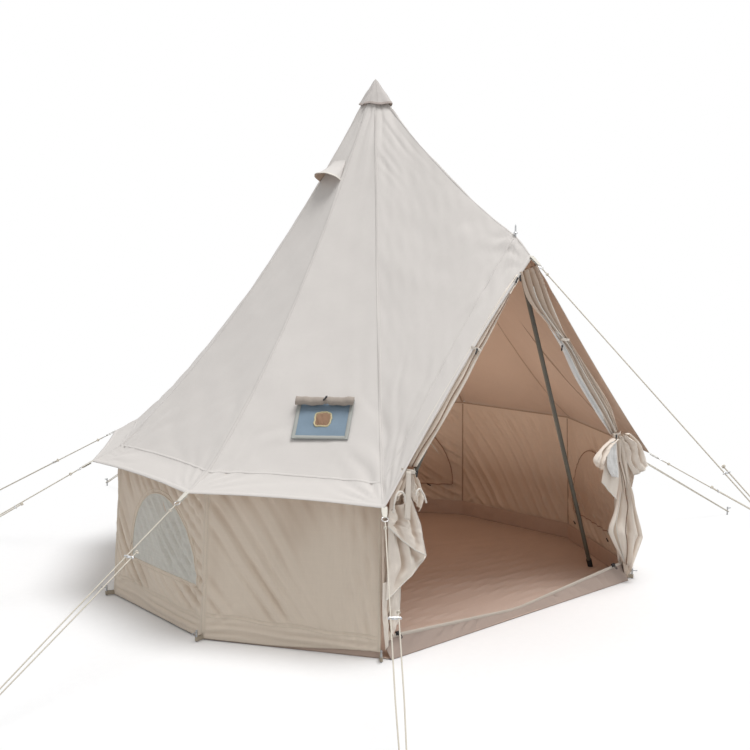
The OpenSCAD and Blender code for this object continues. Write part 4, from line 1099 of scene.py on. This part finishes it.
def make_stove():
    """The stove panel: cloth between a rounded pipe hole and its square edge on rays, a taped border, and
    the rolled flap with its tie."""
    o, x, y, n = stove_spot()
    spot = o + n * 0.0036, x, y, n
    corners = [math.atan2(sy * JACK_H, sx * JACK_W) for sx in (-1, 1) for sy in (-1, 1)]
    even = np.linspace(-np.pi, np.pi, 160, endpoint=False)
    a = np.unique(np.round(np.concatenate([even, corners]), 6))
    dx, dy = np.cos(a), np.sin(a)
    outer = np.minimum(JACK_W / 2 / np.maximum(np.abs(dx), 1e-6), JACK_H / 2 / np.maximum(np.abs(dy), 1e-6))
    square = (np.abs(dx) ** 4 + np.abs(dy) ** 4) ** -0.25
    ragged = JACK_HOLE * square * (0.95 + 0.03 * np.sin(5 * a + 0.7) + 0.02 * np.sin(11 * a))
    t = np.linspace(1, 0, 26)[:, None]
    u, v = mix(ragged * dx, outer * dx, t), mix(ragged * dy, outer * dy, t)
    w = 0.0022 * ripple(u, v, 0.12, 300) * (1 - t) + 0.003
    panel = Pile().grid(in_frame(spot, u, v, w), closed=True, uv=np.stack([u, v], -1))
    panel = thicken(panel.make("stove_cloth", [STOVE]), 0.002)
    edge = in_frame(spot, ragged * dx, ragged * dy, 0.0042 + 0 * a)
    rim = Pile().tube(np.concatenate([edge, edge[:1]]), 0.0036, sides=8, cap=False)
    rim = rim.make("pipe_hole_rim", [HOLE_EDGE])
    tape = Pile()
    s = np.array([-1, -0.92, 0, 0.92, 1.0])
    rise = np.array([0.0015, 0.0052, 0.0055, 0.0052, 0.0015])
    for cx, cy, ax, length in ((0, -1, 0, JACK_W), (-1, 0, 1, JACK_H), (1, 0, 1, JACK_H)):
        m = np.linspace(-0.5, 0.5, 30)[:, None] * length
        off = 0.0088 * s[None]
        uu = m + 0 * off if ax == 0 else cx * (JACK_W / 2 - 0.0083) + off + 0 * m
        vv = cy * (JACK_H / 2 - 0.0083) + off + 0 * m if ax == 0 else m + 0 * off
        ww = rise[None] + 0.0006 * ax + 0.0006 * ripple(m, off, 0.05, 310 + cx + 2 * cy)
        tape.grid(in_frame(spot, uu, vv, ww), flip=ax == 0, uv=np.stack([off + 0 * m, m + 0 * off], -1))
    border = tape.make("stove_binding", [BINDING])
    q = np.linspace(0, 5.2 * np.pi, 120)
    rad = mix(0.006, 0.019, q / q[-1]) + 0.0007 * np.sin(3 * q)
    along = np.linspace(-1, 1, 60)
    wob = 0.0030 * np.sin(7 * along + 1) + 0.002 * np.sin(17 * along)
    pinch = 1 - 0.32 * np.exp(-((along - 0.05) / 0.10) ** 2) + 0.05 * np.sin(11 * along)
    ru = (along * (JACK_W / 2 + 0.004))[:, None] + 0.004 * np.sin(q)[None] * np.abs(along)[:, None] ** 8
    roll_v, roll_w = JACK_H / 2 - 0.019, 0.0255
    rv = roll_v + (rad[None] * np.cos(q)[None] * pinch[:, None]) + 0 * along[:, None]
    rw = roll_w + wob[:, None] + rad[None] * np.sin(q)[None] * pinch[:, None]
    roll = thicken(Pile().grid(in_frame(spot, ru, rv, rw), flip=True).make("rain_flap_roll", [ROLL]), 0.0008)
    g = np.linspace(0, 2 * np.pi, 32)
    tie = in_frame(spot, 0.0065 + 0.002 * np.sin(g), roll_v + 0.0145 * np.cos(g), roll_w + 0.0145 * np.sin(g))
    tie = Pile().tube(tie, 0.0020, sides=8, cap=False, up=x).make("rain_flap_tie", [ROLL])
    return panel, rim, border, roll, tie


stove_panel, stove_rim, stove_border, stove_roll, stove_tie = make_stove()
settle(stove_panel, "stove_cloth", "stove_panel")
settle(stove_rim, "stove_cloth")
settle(stove_border, "flap_cloth")
settle(stove_roll, "flap_cloth", "stove_flap_roll")
settle(stove_tie, "flap_cloth")
declare(stove_panel, "stretched", "canopy", trims=[stove_rim, stove_border],
        cut=(JACK_W + 0.004, JACK_H + 0.004))
declare(stove_roll, "folded", "stove_cloth", trims=[stove_tie])


def make_vents():
    """Hoods that rise to an arched mouth and run back into the slope, with a broad pale band round the
    mouth."""
    hood, band = Pile(), Pile()
    lo, hi = TOP_R, WALL_TOP_R
    for _ in range(40):
        mid = (lo + hi) / 2
        lo, hi = (mid, hi) if roof_z(mid) > VENT_Z else (lo, mid)
    for c in (1.5, 6.5):
        spot = roof_spot(c, lo)
        t = np.linspace(0, 1, 40)[:, None]
        a = np.linspace(0, np.pi, 49)[None]

        def shell(t, lift):
            """A half ellipse with full shoulders that narrows and falls from the mouth, t = 0, to t = 1."""
            wide = VENT_W / 2 * (1 - 0.45 * t)
            tall = (VENT_RISE + 0.006) * (1 - t) ** 1.3
            u = wide * np.cos(a)
            w = tall * np.sin(a) ** 0.62 + 0.0016 * np.sin(7 * a + 5 * t) * (1 - t) + 0.0020 + lift
            v = 0.004 + (VENT_L - 0.010) * t + 0 * a
            return in_frame(spot, u, v, w)
        hood.grid(shell(t, 0.0), flip=True)
        rim = np.array([0.0, 0.0, 0.04, 0.075, 0.08])[:, None]
        band.grid(shell(rim, np.array([-0.001, 0.0016, 0.0020, 0.0016, 0.0])[:, None]), flip=True)
    return hood.make("vent_cloth", [ROOF_OUT, ROOF_IN]), band.make("vent_bands", [PIPING])


vents, vent_bands = make_vents()
thicken(vents, WALL_T, inner=1)
settle(vents, "roof_canvas", "vent_hoods")
settle(vent_bands, "roof_canvas")
declare(vents, "stretched", "canopy", trims=[vent_bands])


# Door flaps

def smooth_path(keys, n):
    """A smooth curve through key rows: cubics from key to key, with slopes taken from the keys on both
    sides."""
    keys = np.asarray(keys, float)
    m = len(keys)
    slope = np.gradient(keys, axis=0)
    s = np.linspace(0, m - 1, n)
    i = np.minimum(s.astype(int), m - 2)
    f = (s - i)[:, None]
    a, b, c, d = keys[i], keys[i + 1], slope[i], slope[i + 1]
    start = (1 + 2 * f) * (1 - f) ** 2 * a + f * (1 - f) ** 2 * c
    return start + f * f * (3 - 2 * f) * b + f * f * (f - 1) * d


def drape(left, right, y, lean, folds, depth, seed, bulge, calm=0.0, sag=0.0, rows=66, cols=56):
    """Cloth hung between two edges, given as (x, z) keys from top to bottom. Rows join the edges at depth
    y, lean forward to the right edge, bow forward by bulge sin(pi s), and wave in depth by pleats that
    drift down the cloth; near the lower edge the pleats fade by calm, and the edge hangs down by sag.
    Returns the grid and its painted shade: a mask that is strongest where a point lies deep in a fold."""
    a, b = smooth_path(left, rows)[:, None], smooth_path(right, rows)[:, None]
    s, t = np.linspace(0, 1, cols)[None], np.linspace(0, 1, rows)[:, None]
    xz = mix(a, b, s[..., None])
    phase = 2 * np.pi * folds * s + 1.1 * ripple(s, t, 0.9, seed) + 0.6 * t
    depth = depth * (1 - calm * step_up(t, 0.35, 1.0))
    ends = 0.12 + 0.88 * np.sin(np.pi * s) ** 0.5
    fold = pleat(phase, 0.6) + 0.3 * ripple(s * 2, t * 2, 0.5, seed + 1)
    out = bulge * np.sin(np.pi * s) ** 0.7 + depth * ends * fold
    x = xz[..., 0] + 0.35 * depth * np.cos(phase) * np.sin(np.pi * s)
    p = np.stack([x, y - lean * s - out, xz[..., 1] - sag * np.sin(np.pi * s) * t ** 2], -1)
    return p, step_up(-fold, -0.1, 1.3) * np.minimum(depth / 0.010, 1)


def hang(side, sheets, lines, rims=()):
    """The sheets of one door flap as one piece of cloth, its netting as another, and its pale and dark
    edges. A line runs down a sheet at s, from t0 to t1; a rim is a rolled edge with its own (x, z) keys and
    depth."""
    canvas, net, pale, dark = Pile(), Pile(), Pile(), Pile()
    grids = []
    for left, right, y, lean, folds, depth, seed, bulge, sag, kind in sheets:
        hem = kind == "hem"
        p, hollow = drape(left, right, y, lean, folds, depth, seed, bulge, calm=0.8 * hem, sag=sag)
        # Painted shade: an inside sheet is darkened all over, as if it lay in shade
        if kind == "inside":
            hollow = np.maximum(hollow, 0.85)
        # Painted shade: a sheet under the peak is darkened most at its top, where the canopy shades it, and
        # in its folds
        elif kind == "painted_shade_under_peak":
            hollow = np.linspace(0.95, 0.40, len(p))[:, None] + 0.8 * hollow
        (net if kind == "net" else canvas).grid(p, hollow=hollow)
        grids.append(p)
        if hem:
            pale.tube(p[-1] + np.array([0, -0.0015, 0]), 0.0032, sides=8)
    for sheet, s, t0, t1, kind in lines:
        p = grids[sheet]
        rows, cols = p.shape[0] - 1, p.shape[1] - 1
        path = p[round(t0 * rows):round(t1 * rows) + 1, round(s * cols)] + np.array([0, -0.0012, 0])
        (pale if kind == "pale" else dark).tube(path, 0.0026, sides=8)
    for keys, y in rims:
        path = smooth_path(keys, 40)
        pale.tube(np.stack([path[:, 0], np.full(40, y), path[:, 1]], -1), 0.0042, sides=10)
    flap = thicken(canvas.make(f"door_flap_cloth_{side}", [FLAP]), FLAP_T, offset=0.0)
    settle(flap, "flap_cloth", f"door_flap_{side}")
    trims = [settle(pale.make(f"door_flap_piping_{side}", [PIPING]), "flap_cloth"),
             settle(dark.make(f"door_flap_zip_{side}", [ZIP_TAPE]), "floor_cloth")]
    if net.n:
        gauze = thicken(net.make(f"door_net_{side}", [DOOR_NET]), NET_T, offset=0.0)
        settle(gauze, "netting")
        declare(gauze, "gathered", f"frame_{side}_lower")
    declare(flap, "gathered", f"frame_{side}_lower", trims=trims)


# Edges of each sheet as (x, z) keys down from the top, then its depth, lean, folds, fold depth, seed, bulge,
# sag and kind. An inside sheet is painted as lying in shade; painted_shade_under_peak is painted darker
# towards its top.
LEFT_SHEETS = [
    ([(-0.090, 1.595), (-0.202, 1.483), (-0.392, 1.272), (-0.575, 1.069), (-0.800, 0.812)],
     [(-0.060, 1.585), (-0.147, 1.482), (-0.295, 1.288), (-0.468, 1.064), (-0.706, 0.798)],
     -1.030, 0.0, 2.2, 0.011, 400, 0.006, 0.0, "cloth"),
    ([(-0.889, 0.330), (-0.889, 0.216), (-0.880, 0.131), (-0.866, 0.037)],
     [(-0.784, 0.340), (-0.788, 0.236), (-0.792, 0.170), (-0.801, 0.133)],
     -1.026, 0.0, 1.6, 0.008, 407, 0.0, 0.0, "cloth"),
    ([(-0.900, 0.640), (-0.895, 0.516), (-0.892, 0.407), (-0.890, 0.260)],
     [(-0.855, 0.635), (-0.855, 0.510), (-0.855, 0.401), (-0.856, 0.238)],
     -1.022, 0.0, 1.2, 0.006, 409, 0.0, 0.0, "inside"),
    ([(-0.872, 0.600), (-0.868, 0.433), (-0.873, 0.325), (-0.878, 0.257)],
     [(-0.705, 0.480), (-0.675, 0.438), (-0.657, 0.415), (-0.651, 0.405)],
     -1.034, 0.006, 2.2, 0.012, 405, 0.012, 0.0, "hem"),
    ([(-0.800, 0.795), (-0.831, 0.714), (-0.863, 0.650), (-0.870, 0.580)],
     [(-0.770, 0.790), (-0.775, 0.699), (-0.777, 0.640), (-0.775, 0.580)],
     -1.030, 0.0, 2.2, 0.010, 408, 0.0, 0.0, "inside"),
    ([(-0.884, 0.640), (-0.890, 0.613), (-0.892, 0.595), (-0.892, 0.576)],
     [(-0.770, 0.690), (-0.706, 0.560), (-0.686, 0.487), (-0.664, 0.414)],
     -1.054, 0.0, 2.3, 0.014, 404, 0.010, 0.016, "hem"),
    ([(-0.822, 0.800), (-0.852, 0.751), (-0.880, 0.697), (-0.890, 0.636)],
     [(-0.800, 0.792), (-0.805, 0.746), (-0.820, 0.712), (-0.848, 0.716)],
     -1.056, 0.0, 1.3, 0.012, 403, 0.016, 0.0, "cloth"),
    ([(-0.772, 0.780), (-0.770, 0.734), (-0.768, 0.696), (-0.747, 0.661)],
     [(-0.748, 0.774), (-0.715, 0.724), (-0.689, 0.666), (-0.718, 0.612)],
     -1.056, 0.0, 1.4, 0.012, 402, 0.018, 0.0, "cloth")]
LEFT_LINES = [(0, 0.0, 0.15, 1.0, "pale"), (0, 0.52, 0.2, 1.0, "dark"), (5, 1.0, 0.0, 1.0, "pale"),
              (1, 1.0, 0.0, 1.0, "pale"), (1, 0.45, 0.35, 1.0, "dark")]
LEFT_RIMS = [([(-0.895, 0.640), (-0.888, 0.692), (-0.872, 0.718), (-0.853, 0.722), (-0.834, 0.706),
               (-0.828, 0.672)], -1.088),
             ([(-0.772, 0.697), (-0.764, 0.714), (-0.748, 0.718), (-0.724, 0.692), (-0.708, 0.655)], -1.094)]
RIGHT_SHEETS = [
    ([(-0.080, 1.606), (-0.018, 1.484), (0.132, 1.362), (0.285, 1.235), (0.395, 1.095),
      (0.575, 0.905), (0.680, 0.785)],
     [(0.044, 1.640), (0.160, 1.464), (0.269, 1.307), (0.340, 1.240), (0.503, 1.088), (0.660, 0.925),
      (0.722, 0.796)],
     -1.040, 0.0, 4.2, 0.015, 420, 0.010, 0.0, "painted_shade_under_peak"),
    ([(0.040, 1.462), (0.092, 1.408), (0.148, 1.352), (0.250, 1.246), (0.362, 1.100), (0.545, 0.909),
      (0.678, 0.782)],
     [(0.070, 1.470), (0.120, 1.412), (0.195, 1.340), (0.295, 1.235), (0.425, 1.095), (0.600, 0.905),
      (0.692, 0.780)],
     -1.036, 0.0, 2.0, 0.008, 421, 0.006, 0.0, "net"),
    ([(0.685, 0.770), (0.716, 0.645), (0.738, 0.531), (0.735, 0.446), (0.716, 0.383), (0.675, 0.310),
      (0.697, 0.253), (0.802, 0.120)],
     [(0.690, 0.775), (0.723, 0.670), (0.776, 0.534), (0.814, 0.443), (0.847, 0.370), (0.902, 0.253),
      (0.898, 0.207), (0.815, 0.075)],
     -1.046, 0.050, 3.2, 0.015, 426, 0.010, 0.0, "cloth"),
    ([(0.633, 0.771), (0.610, 0.700), (0.594, 0.625), (0.579, 0.562)],
     [(0.690, 0.770), (0.715, 0.668), (0.732, 0.568), (0.714, 0.455)],
     -1.060, 0.0, 1.6, 0.007, 427, 0.010, 0.010, "hem"),
    ([(0.620, 0.768), (0.585, 0.701), (0.588, 0.643), (0.628, 0.586)],
     [(0.655, 0.765), (0.668, 0.684), (0.684, 0.617), (0.690, 0.571)],
     -1.084, 0.0, 1.3, 0.005, 425, 0.006, 0.0, "net"),
    ([(0.640, 0.777), (0.543, 0.735), (0.485, 0.688), (0.511, 0.650)],
     [(0.665, 0.768), (0.618, 0.733), (0.584, 0.673), (0.550, 0.626)],
     -1.072, 0.0, 1.8, 0.014, 424, 0.018, 0.0, "cloth"),
    ([(0.725, 0.765), (0.756, 0.675), (0.796, 0.585), (0.836, 0.493)],
     [(0.740, 0.760), (0.814, 0.640), (0.868, 0.575), (0.850, 0.499)],
     -1.056, 0.0, 1.5, 0.010, 428, 0.0, 0.0, "inside"),
    ([(0.681, 0.784), (0.721, 0.707), (0.765, 0.636), (0.826, 0.569)],
     [(0.690, 0.800), (0.744, 0.790), (0.845, 0.713), (0.901, 0.617)],
     -1.084, 0.025, 2.3, 0.020, 423, 0.020, 0.0, "hem"),
    ([(0.834, 0.180), (0.844, 0.082), (0.868, 0.006)],
     [(0.950, 0.180), (0.935, 0.060), (0.900, 0.004)], -1.030, 0.0, 1.6, 0.006, 429, 0.0, 0.0, "inside"),
    ([(0.785, 0.735), (0.775, 0.600), (0.782, 0.450), (0.805, 0.250), (0.840, 0.090)],
     [(0.862, 0.735), (0.868, 0.600), (0.873, 0.450), (0.879, 0.250), (0.884, 0.030)],
     -1.000, 0.010, 1.7, 0.007, 430, 0.0, 0.0, "cloth")]
RIGHT_LINES = [(0, 0.30, 0.1, 1.0, "pale"), (0, 0.62, 0.1, 1.0, "dark"), (0, 0.85, 0.1, 1.0, "pale"),
               (2, 0.42, 0.15, 1.0, "dark"), (2, 0.10, 0.35, 1.0, "pale"), (2, 0.24, 0.0, 1.0, "pale"),
               (7, 0.0, 0.0, 1.0, "pale")]
hang("left", LEFT_SHEETS, LEFT_LINES, LEFT_RIMS)
hang("right", RIGHT_SHEETS, RIGHT_LINES)


def make_ties():
    """The door ties: bands round the gathered flaps, and the left one's hanging end."""
    pile = Pile()
    for left, right, y, bulge in (
            ([(-0.822, 0.812), (-0.818, 0.794)], [(-0.742, 0.793), (-0.742, 0.775)], -1.056, 0.018),
            ([(-0.818, 0.802), (-0.822, 0.703), (-0.824, 0.602)],
             [(-0.790, 0.796), (-0.790, 0.697), (-0.790, 0.591)], -1.082, 0.004),
            ([(0.662, 0.796), (0.664, 0.774)], [(0.726, 0.802), (0.724, 0.780)], -1.058, 0.020),
            ([(0.224, 1.296), (0.222, 1.284)], [(0.288, 1.288), (0.285, 1.276)], -1.054, 0.012),
            ([(-0.392, 1.290), (-0.390, 1.278)], [(-0.330, 1.274), (-0.328, 1.262)], -1.040, 0.010)):
        pile.grid(drape(left, right, y, 0.0, 1.0, 0.0012, 440, bulge, rows=24, cols=16)[0])
    return thicken(pile.make("door_ties", [TIE]), 0.0012, offset=0.0)


door_ties = make_ties()
settle(door_ties, "flap_cloth")
declare(door_ties, "hung", "door_flap_cloth_left", "door_flap_cloth_right")


# Ropes and hardware

def rope_line(i):
    """Start, direction, across direction and length of rope i: 0 to 8 at the corners, 9 at the door's
    peak."""
    if i < 9:
        start, end = polar(corner(i), EAVE_R, EAVE_Z - 0.003), polar(corner(i), PEG_R, CATCH_Z)
    else:
        start, end = np.array([0, -PEAK_Y, PEAK_Z - 0.003]), np.array([0, -PEAK_Y - DOOR_RUN, CATCH_Z])
    d = unit(end - start)
    return start, d, unit(np.cross([0, 0, 1], d)), np.linalg.norm(end - start)


def rope_path(i):
    """The rope's route: ring to peg, round the peg, and back up to the runner, where its tail ends in a
    knot."""
    start, d, side, length = rope_line(i)
    at = {8: RUNNER_LOW, 9: RUNNER_PEAK}.get(i, RUNNER_HIGH)
    part = at + RUNNER_TRAVEL + PITCH
    bend = 0.0045 + ROPE_D / 2 + 0.0008
    reach = bend / math.hypot(d[0], d[1])
    a = np.radians(np.arange(-90, 91, 15))
    uv = np.concatenate([[(RING_AT + RING_R + 0.0024, 0), (part, 0)],
                         np.stack([length + reach * np.cos(a), PITCH / 2 + bend * np.sin(a)], 1),
                         [(part, PITCH), (at - 0.026, PITCH)]])
    runs = []
    for here, there in zip(uv[:-1], uv[1:]):
        count = max(1, int(np.linalg.norm(there - here) / 0.005))
        runs.append(np.linspace(here, there, count, endpoint=False))
    flat = np.concatenate(runs + [uv[-1:]])
    return start + flat[:, :1] * d + flat[:, 1:] * side, d


def knot(pile, at, d, size):
    """A small overhand knot: a trefoil turn of cord about the rope."""
    g = np.linspace(0, 2 * np.pi, 40)
    other = unit(np.cross(d, [0.3, 0.1, 1.0]))
    third = np.cross(d, other)
    across = (np.sin(g) + 2 * np.sin(2 * g))[:, None] * other * 0.5
    around = (np.cos(g) - 2 * np.cos(2 * g))[:, None] * third * 0.5
    loop = at + size * (across + around - np.sin(3 * g)[:, None] * d * 0.9)
    pile.tube(loop, ROPE_D / 2 * 0.95, sides=8, cap=False, up=d)


for i in range(10):
    if i < 9:
        name, node = f"rope_{i + 1}", "guy_ropes_right" if i < 5 else "guy_ropes_left"
    else:
        name, node = "rope_door", "guy_rope_door"
    path, d = rope_path(i)
    rope = Pile().tube(path, ROPE_D / 2 * 1.02, sides=12, lobes=3, depth=0.14, twist=2 * np.pi / ROPE_LAY)
    rope = rope.make(name, [ROPE])
    knots = Pile()
    knot(knots, path[-1] - d * 0.004, d, 0.0042)
    knot(knots, path[0] + d * 0.035, d, 0.0036)
    settle(rope, "rope", node)
    knots = settle(knots.make(f"{name}_knots", [ROPE]), "rope")


def make_tabs():
    """Webbing tabs: a strap that leaves the eave, turns round the ring and comes back."""
    pile = Pile()
    for i in range(10):
        start, d, side, _ = rope_line(i)
        up = np.cross(d, side)
        up = up if up[2] > 0 else -up
        g = np.linspace(0, np.pi, 14)
        far = RING_AT - RING_R
        run = np.concatenate([np.linspace(-0.012, far - 0.002, 20), far - 0.002 + 0.0052 * np.sin(g[1:-1]),
                              np.linspace(far - 0.002, 0.004, 18)])
        high = np.concatenate([np.full(20, 0.0028), 0.0028 * np.cos(g[1:-1]), np.full(18, -0.0028)])
        high = high + 0.0004 * np.sin(run * 300)
        taper = np.interp(run, [-0.012, 0.02, far], [0.0125, 0.0122, 0.0092])
        s = np.linspace(-1, 1, 7)[None]
        p = start + run[:, None, None] * d + high[:, None, None] * up + (taper[:, None] * s)[..., None] * side
        pile.grid(p, flip=True)
    return thicken(pile.make("eave_straps", [WEBBING]), 0.0014, offset=0.0)


eave_straps = make_tabs()
settle(eave_straps, "webbing", "eave_tabs")
declare(eave_straps, "stretched", "eave_rings", "canopy")


def make_loops():
    """Peg loops: a strap from the wall's foot round its peg and back."""
    pile = Pile()
    for i in range(9):
        a = corner(i)
        out, side = polar(a, 1.0, 0.0), np.array([math.cos(a), math.sin(a), 0])
        r = 0.0045 + 0.0004 + 0.0012
        g = np.linspace(-np.pi / 2, np.pi / 2, 18)
        near, far = BASE_R - 0.004, BASE_R + 0.034
        u = np.concatenate([np.linspace(near, far, 12), far + r * np.cos(g[1:-1]),
                            np.linspace(far, near, 12)])
        w = np.concatenate([np.full(12, -r), r * np.sin(g[1:-1]), np.full(12, r)])
        z = np.linspace(0.004, 0.022, 6)
        p = u[:, None, None] * out + w[:, None, None] * side + z[None, :, None] * np.array([0, 0, 1.0])
        pile.grid(p, flip=True)
    return thicken(pile.make("peg_straps", [LOOP]), 0.0016, offset=0.0)


peg_straps = make_loops()
settle(peg_straps, "webbing", "peg_loops")
declare(peg_straps, "stretched", "pegs", "wall_cloth_1")


def toggle_at(pile, cords, middle, axis, hang_from):
    """A turned toggle: a barrel with a waist, swept on its axis, and the cord that it hangs from."""
    s = np.linspace(-1, 1, 24)
    r = 0.0040 * np.sqrt(np.maximum(1 - np.abs(s) ** 6, 0.02)) * (1 - 0.22 * np.exp(-(s / 0.22) ** 2))
    pile.tube(middle + (s * 0.0148)[:, None] * axis, r, sides=14)
    g = np.linspace(0, 1, 12)[:, None]
    bow = 0.004 * np.sin(np.pi * g) * unit(np.cross(axis, hang_from - middle))
    cords.tube(middle + g * (hang_from - middle) + bow, 0.0014, sides=6)


# Middles and axes of the toggles on the door flaps: at the ties, halfway up, and near the peak
DOOR_TOGGLES = [((-0.757, -1.084, 0.782), (0.15, 0, 1.0)), ((0.646, -1.092, 0.782), (0.1, 0, 1.0)),
                ((-0.371, -1.054, 1.266), (0.5, 0, 1.0)), ((0.214, -1.068, 1.250), (0.15, 0, 1.0)),
                ((-0.108, -1.050, 1.570), (0.5, 0, 1.0)), ((-0.084, -1.050, 1.578), (-0.1, 0, 1.0))]


# Toggles of a window cover: window widths along the wall towards the doorway, and height up the wall
COVER_TOGGLES = ((0.32, 0.191), (-0.32, 0.191))
FIRST_COVER_TOGGLES = ((0.345, 0.152), (-0.47, 0.130))


def make_toggles():
    """Toggles under the window covers, on the rolled rain flap and on the door flaps, with their cords."""
    pile, cords = Pile(), Pile()
    for i in range(0, WALLS, 2):
        base, across, up, out = wall_frame(i)
        toward = across if i >= 4 else -across
        for spread, height in COVER_TOGGLES if i else FIRST_COVER_TOGGLES:
            mid = base + toward * spread * WINDOW_W + up * height - out * 0.0125
            top = mid + up * max(0.06, 0.206 - height) + out * 0.001
            toggle_at(pile, cords, mid, unit(across + 0.5 * up), top)
    o, x, y, n = stove_spot()
    mid = o + x * 0.0065 + y * (JACK_H / 2 - 0.019) + n * 0.0500
    toggle_at(pile, cords, mid, unit(x * 0.5 + y * 0.87), mid + x * 0.006 - n * 0.006)
    for place, axis in DOOR_TOGGLES:
        mid = np.array(place)
        toggle_at(pile, cords, mid, unit(np.array(axis)), mid + np.array([0, 0.016, 0.02]))
    return pile.make("toggle_barrels", [TOGGLE]), cords.make("toggle_cords", [WEBBING])


toggles, toggle_cords = make_toggles()
settle(toggles, "dark_plastic", "toggles")
settle(toggle_cords, "webbing")


def make_spike():
    """The pin of the A-frame's crown, turned with a collar and a point, which comes up through an eyelet in
    the ridge."""
    z = CROWN_Z + np.array([-0.024, -0.002, 0.002, 0.003, 0.006, 0.007, 0.012, 0.034, 0.040, 0.044])
    r = np.array([0.0045, 0.0045, 0.0045, 0.0110, 0.0110, 0.0055, 0.0040, 0.0036, 0.0026, 0.0008])
    path = np.stack([0 * z, 0 * z - CROWN_Y, z], -1)
    return Pile().tube(path, r, sides=20, up=(1, 0, 0)).make("crown_pin", [ZINC])


settle(make_spike(), "peg_steel")


def make_zip(name, side):
    """A zip slider astride the sill's edge: an inverted U whose outside rounds off towards both ends, and
    its pull."""
    lo, hi = (np.array(c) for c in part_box(f"zip_slider_{name}"))
    mid, half = (lo + hi) / 2, (hi - lo) / 2
    s = np.linspace(-1, 1, 26)
    ease = 0.0016 * (1 - np.sqrt(np.maximum(0, 1 - np.maximum(0, (np.abs(s) - 0.75) / 0.25) ** 2)))
    g = np.linspace(np.pi, 0, 15)
    wide, tall, slot, deep = half[1] - 0.0004, 0.0165, 0.0026, 0.0085
    way = np.linspace(0, 1, 17)
    inner = np.stack([np.interp(way, [0, 0.4, 0.6, 1], [slot, slot, -slot, -slot]),
                      np.interp(way, [0, 0.4, 0.6, 1], [0.0, deep, deep, 0.0])], 1)
    bend_y = np.sign(np.cos(g)) * np.abs(np.cos(g)) ** 0.5
    bend_z = np.sign(np.sin(g)) * np.abs(np.sin(g)) ** 0.5
    rows = []
    for e in ease:
        arch = np.stack([(wide - e) * bend_y, 0.006 + (tall - e - 0.006) * bend_z], 1)
        rows.append(np.concatenate([[(-wide + e, 0.0)], arch, [(wide - e, 0.0)], inner]))
    rows = np.array(rows)
    middle = (rows + rows[:, ::-1]) / 2
    rows = np.concatenate([middle[:1], rows, middle[-1:]])
    run = np.concatenate([s[:1], s, s[-1:]]) * 0.0130
    tilt = side * SILL_SLOPE
    along = np.array([math.cos(tilt), 0, math.sin(tilt)])
    rise = np.array([-math.sin(tilt), 0, math.cos(tilt)])
    foot = np.array([mid[0], mid[1], sill_top(mid[0]) - 0.008])
    p = foot + run[:, None, None] * along + rows[..., :1] * np.array([0, 1.0, 0]) + rows[..., 1:] * rise
    pile = Pile().grid(p, closed=True, flip=True)
    q = np.linspace(0, 2 * np.pi, 40)
    down = 0.011 * (1 - np.cos(q))
    tab = [mid[0] + 0.006 * np.sin(q), lo[1] - 0.0022 - 0.75 * down, foot[2] + 0.007 - 0.66 * down]
    tab = np.stack(tab, -1)
    pile.tube(tab, 0.0019, sides=8, cap=False, up=(0, 1, 0))
    return pile.make(f"zip_{name}", [TOGGLE])


for side, name in ((1, "right"), (-1, "left")):
    settle(make_zip(name, side), "dark_plastic", f"zip_slider_{name}", body=f"zip_slider_{name}")

# Rigid pieces keep their CAD shape and take a worked finish
RIGID = [
    (POLE, ["centre_pole_lower", "centre_pole_middle", "centre_pole_upper", "frame_left_lower",
            "frame_left_upper", "frame_right_lower", "frame_right_upper"]),
    (TOGGLE, ["frame_crown", "pole_finial"]),
    (RUBBER, ["centre_pole_foot", "frame_feet"]),
    (STEEL, ["eave_rings"]),
    (ZINC, ["pegs"]),
    (ALLOY, ["runner_door"] + [f"runner_{k}" for k in range(1, 10)])]
for finish, names in RIGID:
    for node in names:
        nodes[node].data.materials.clear()
        nodes[node].data.materials.append(finish)
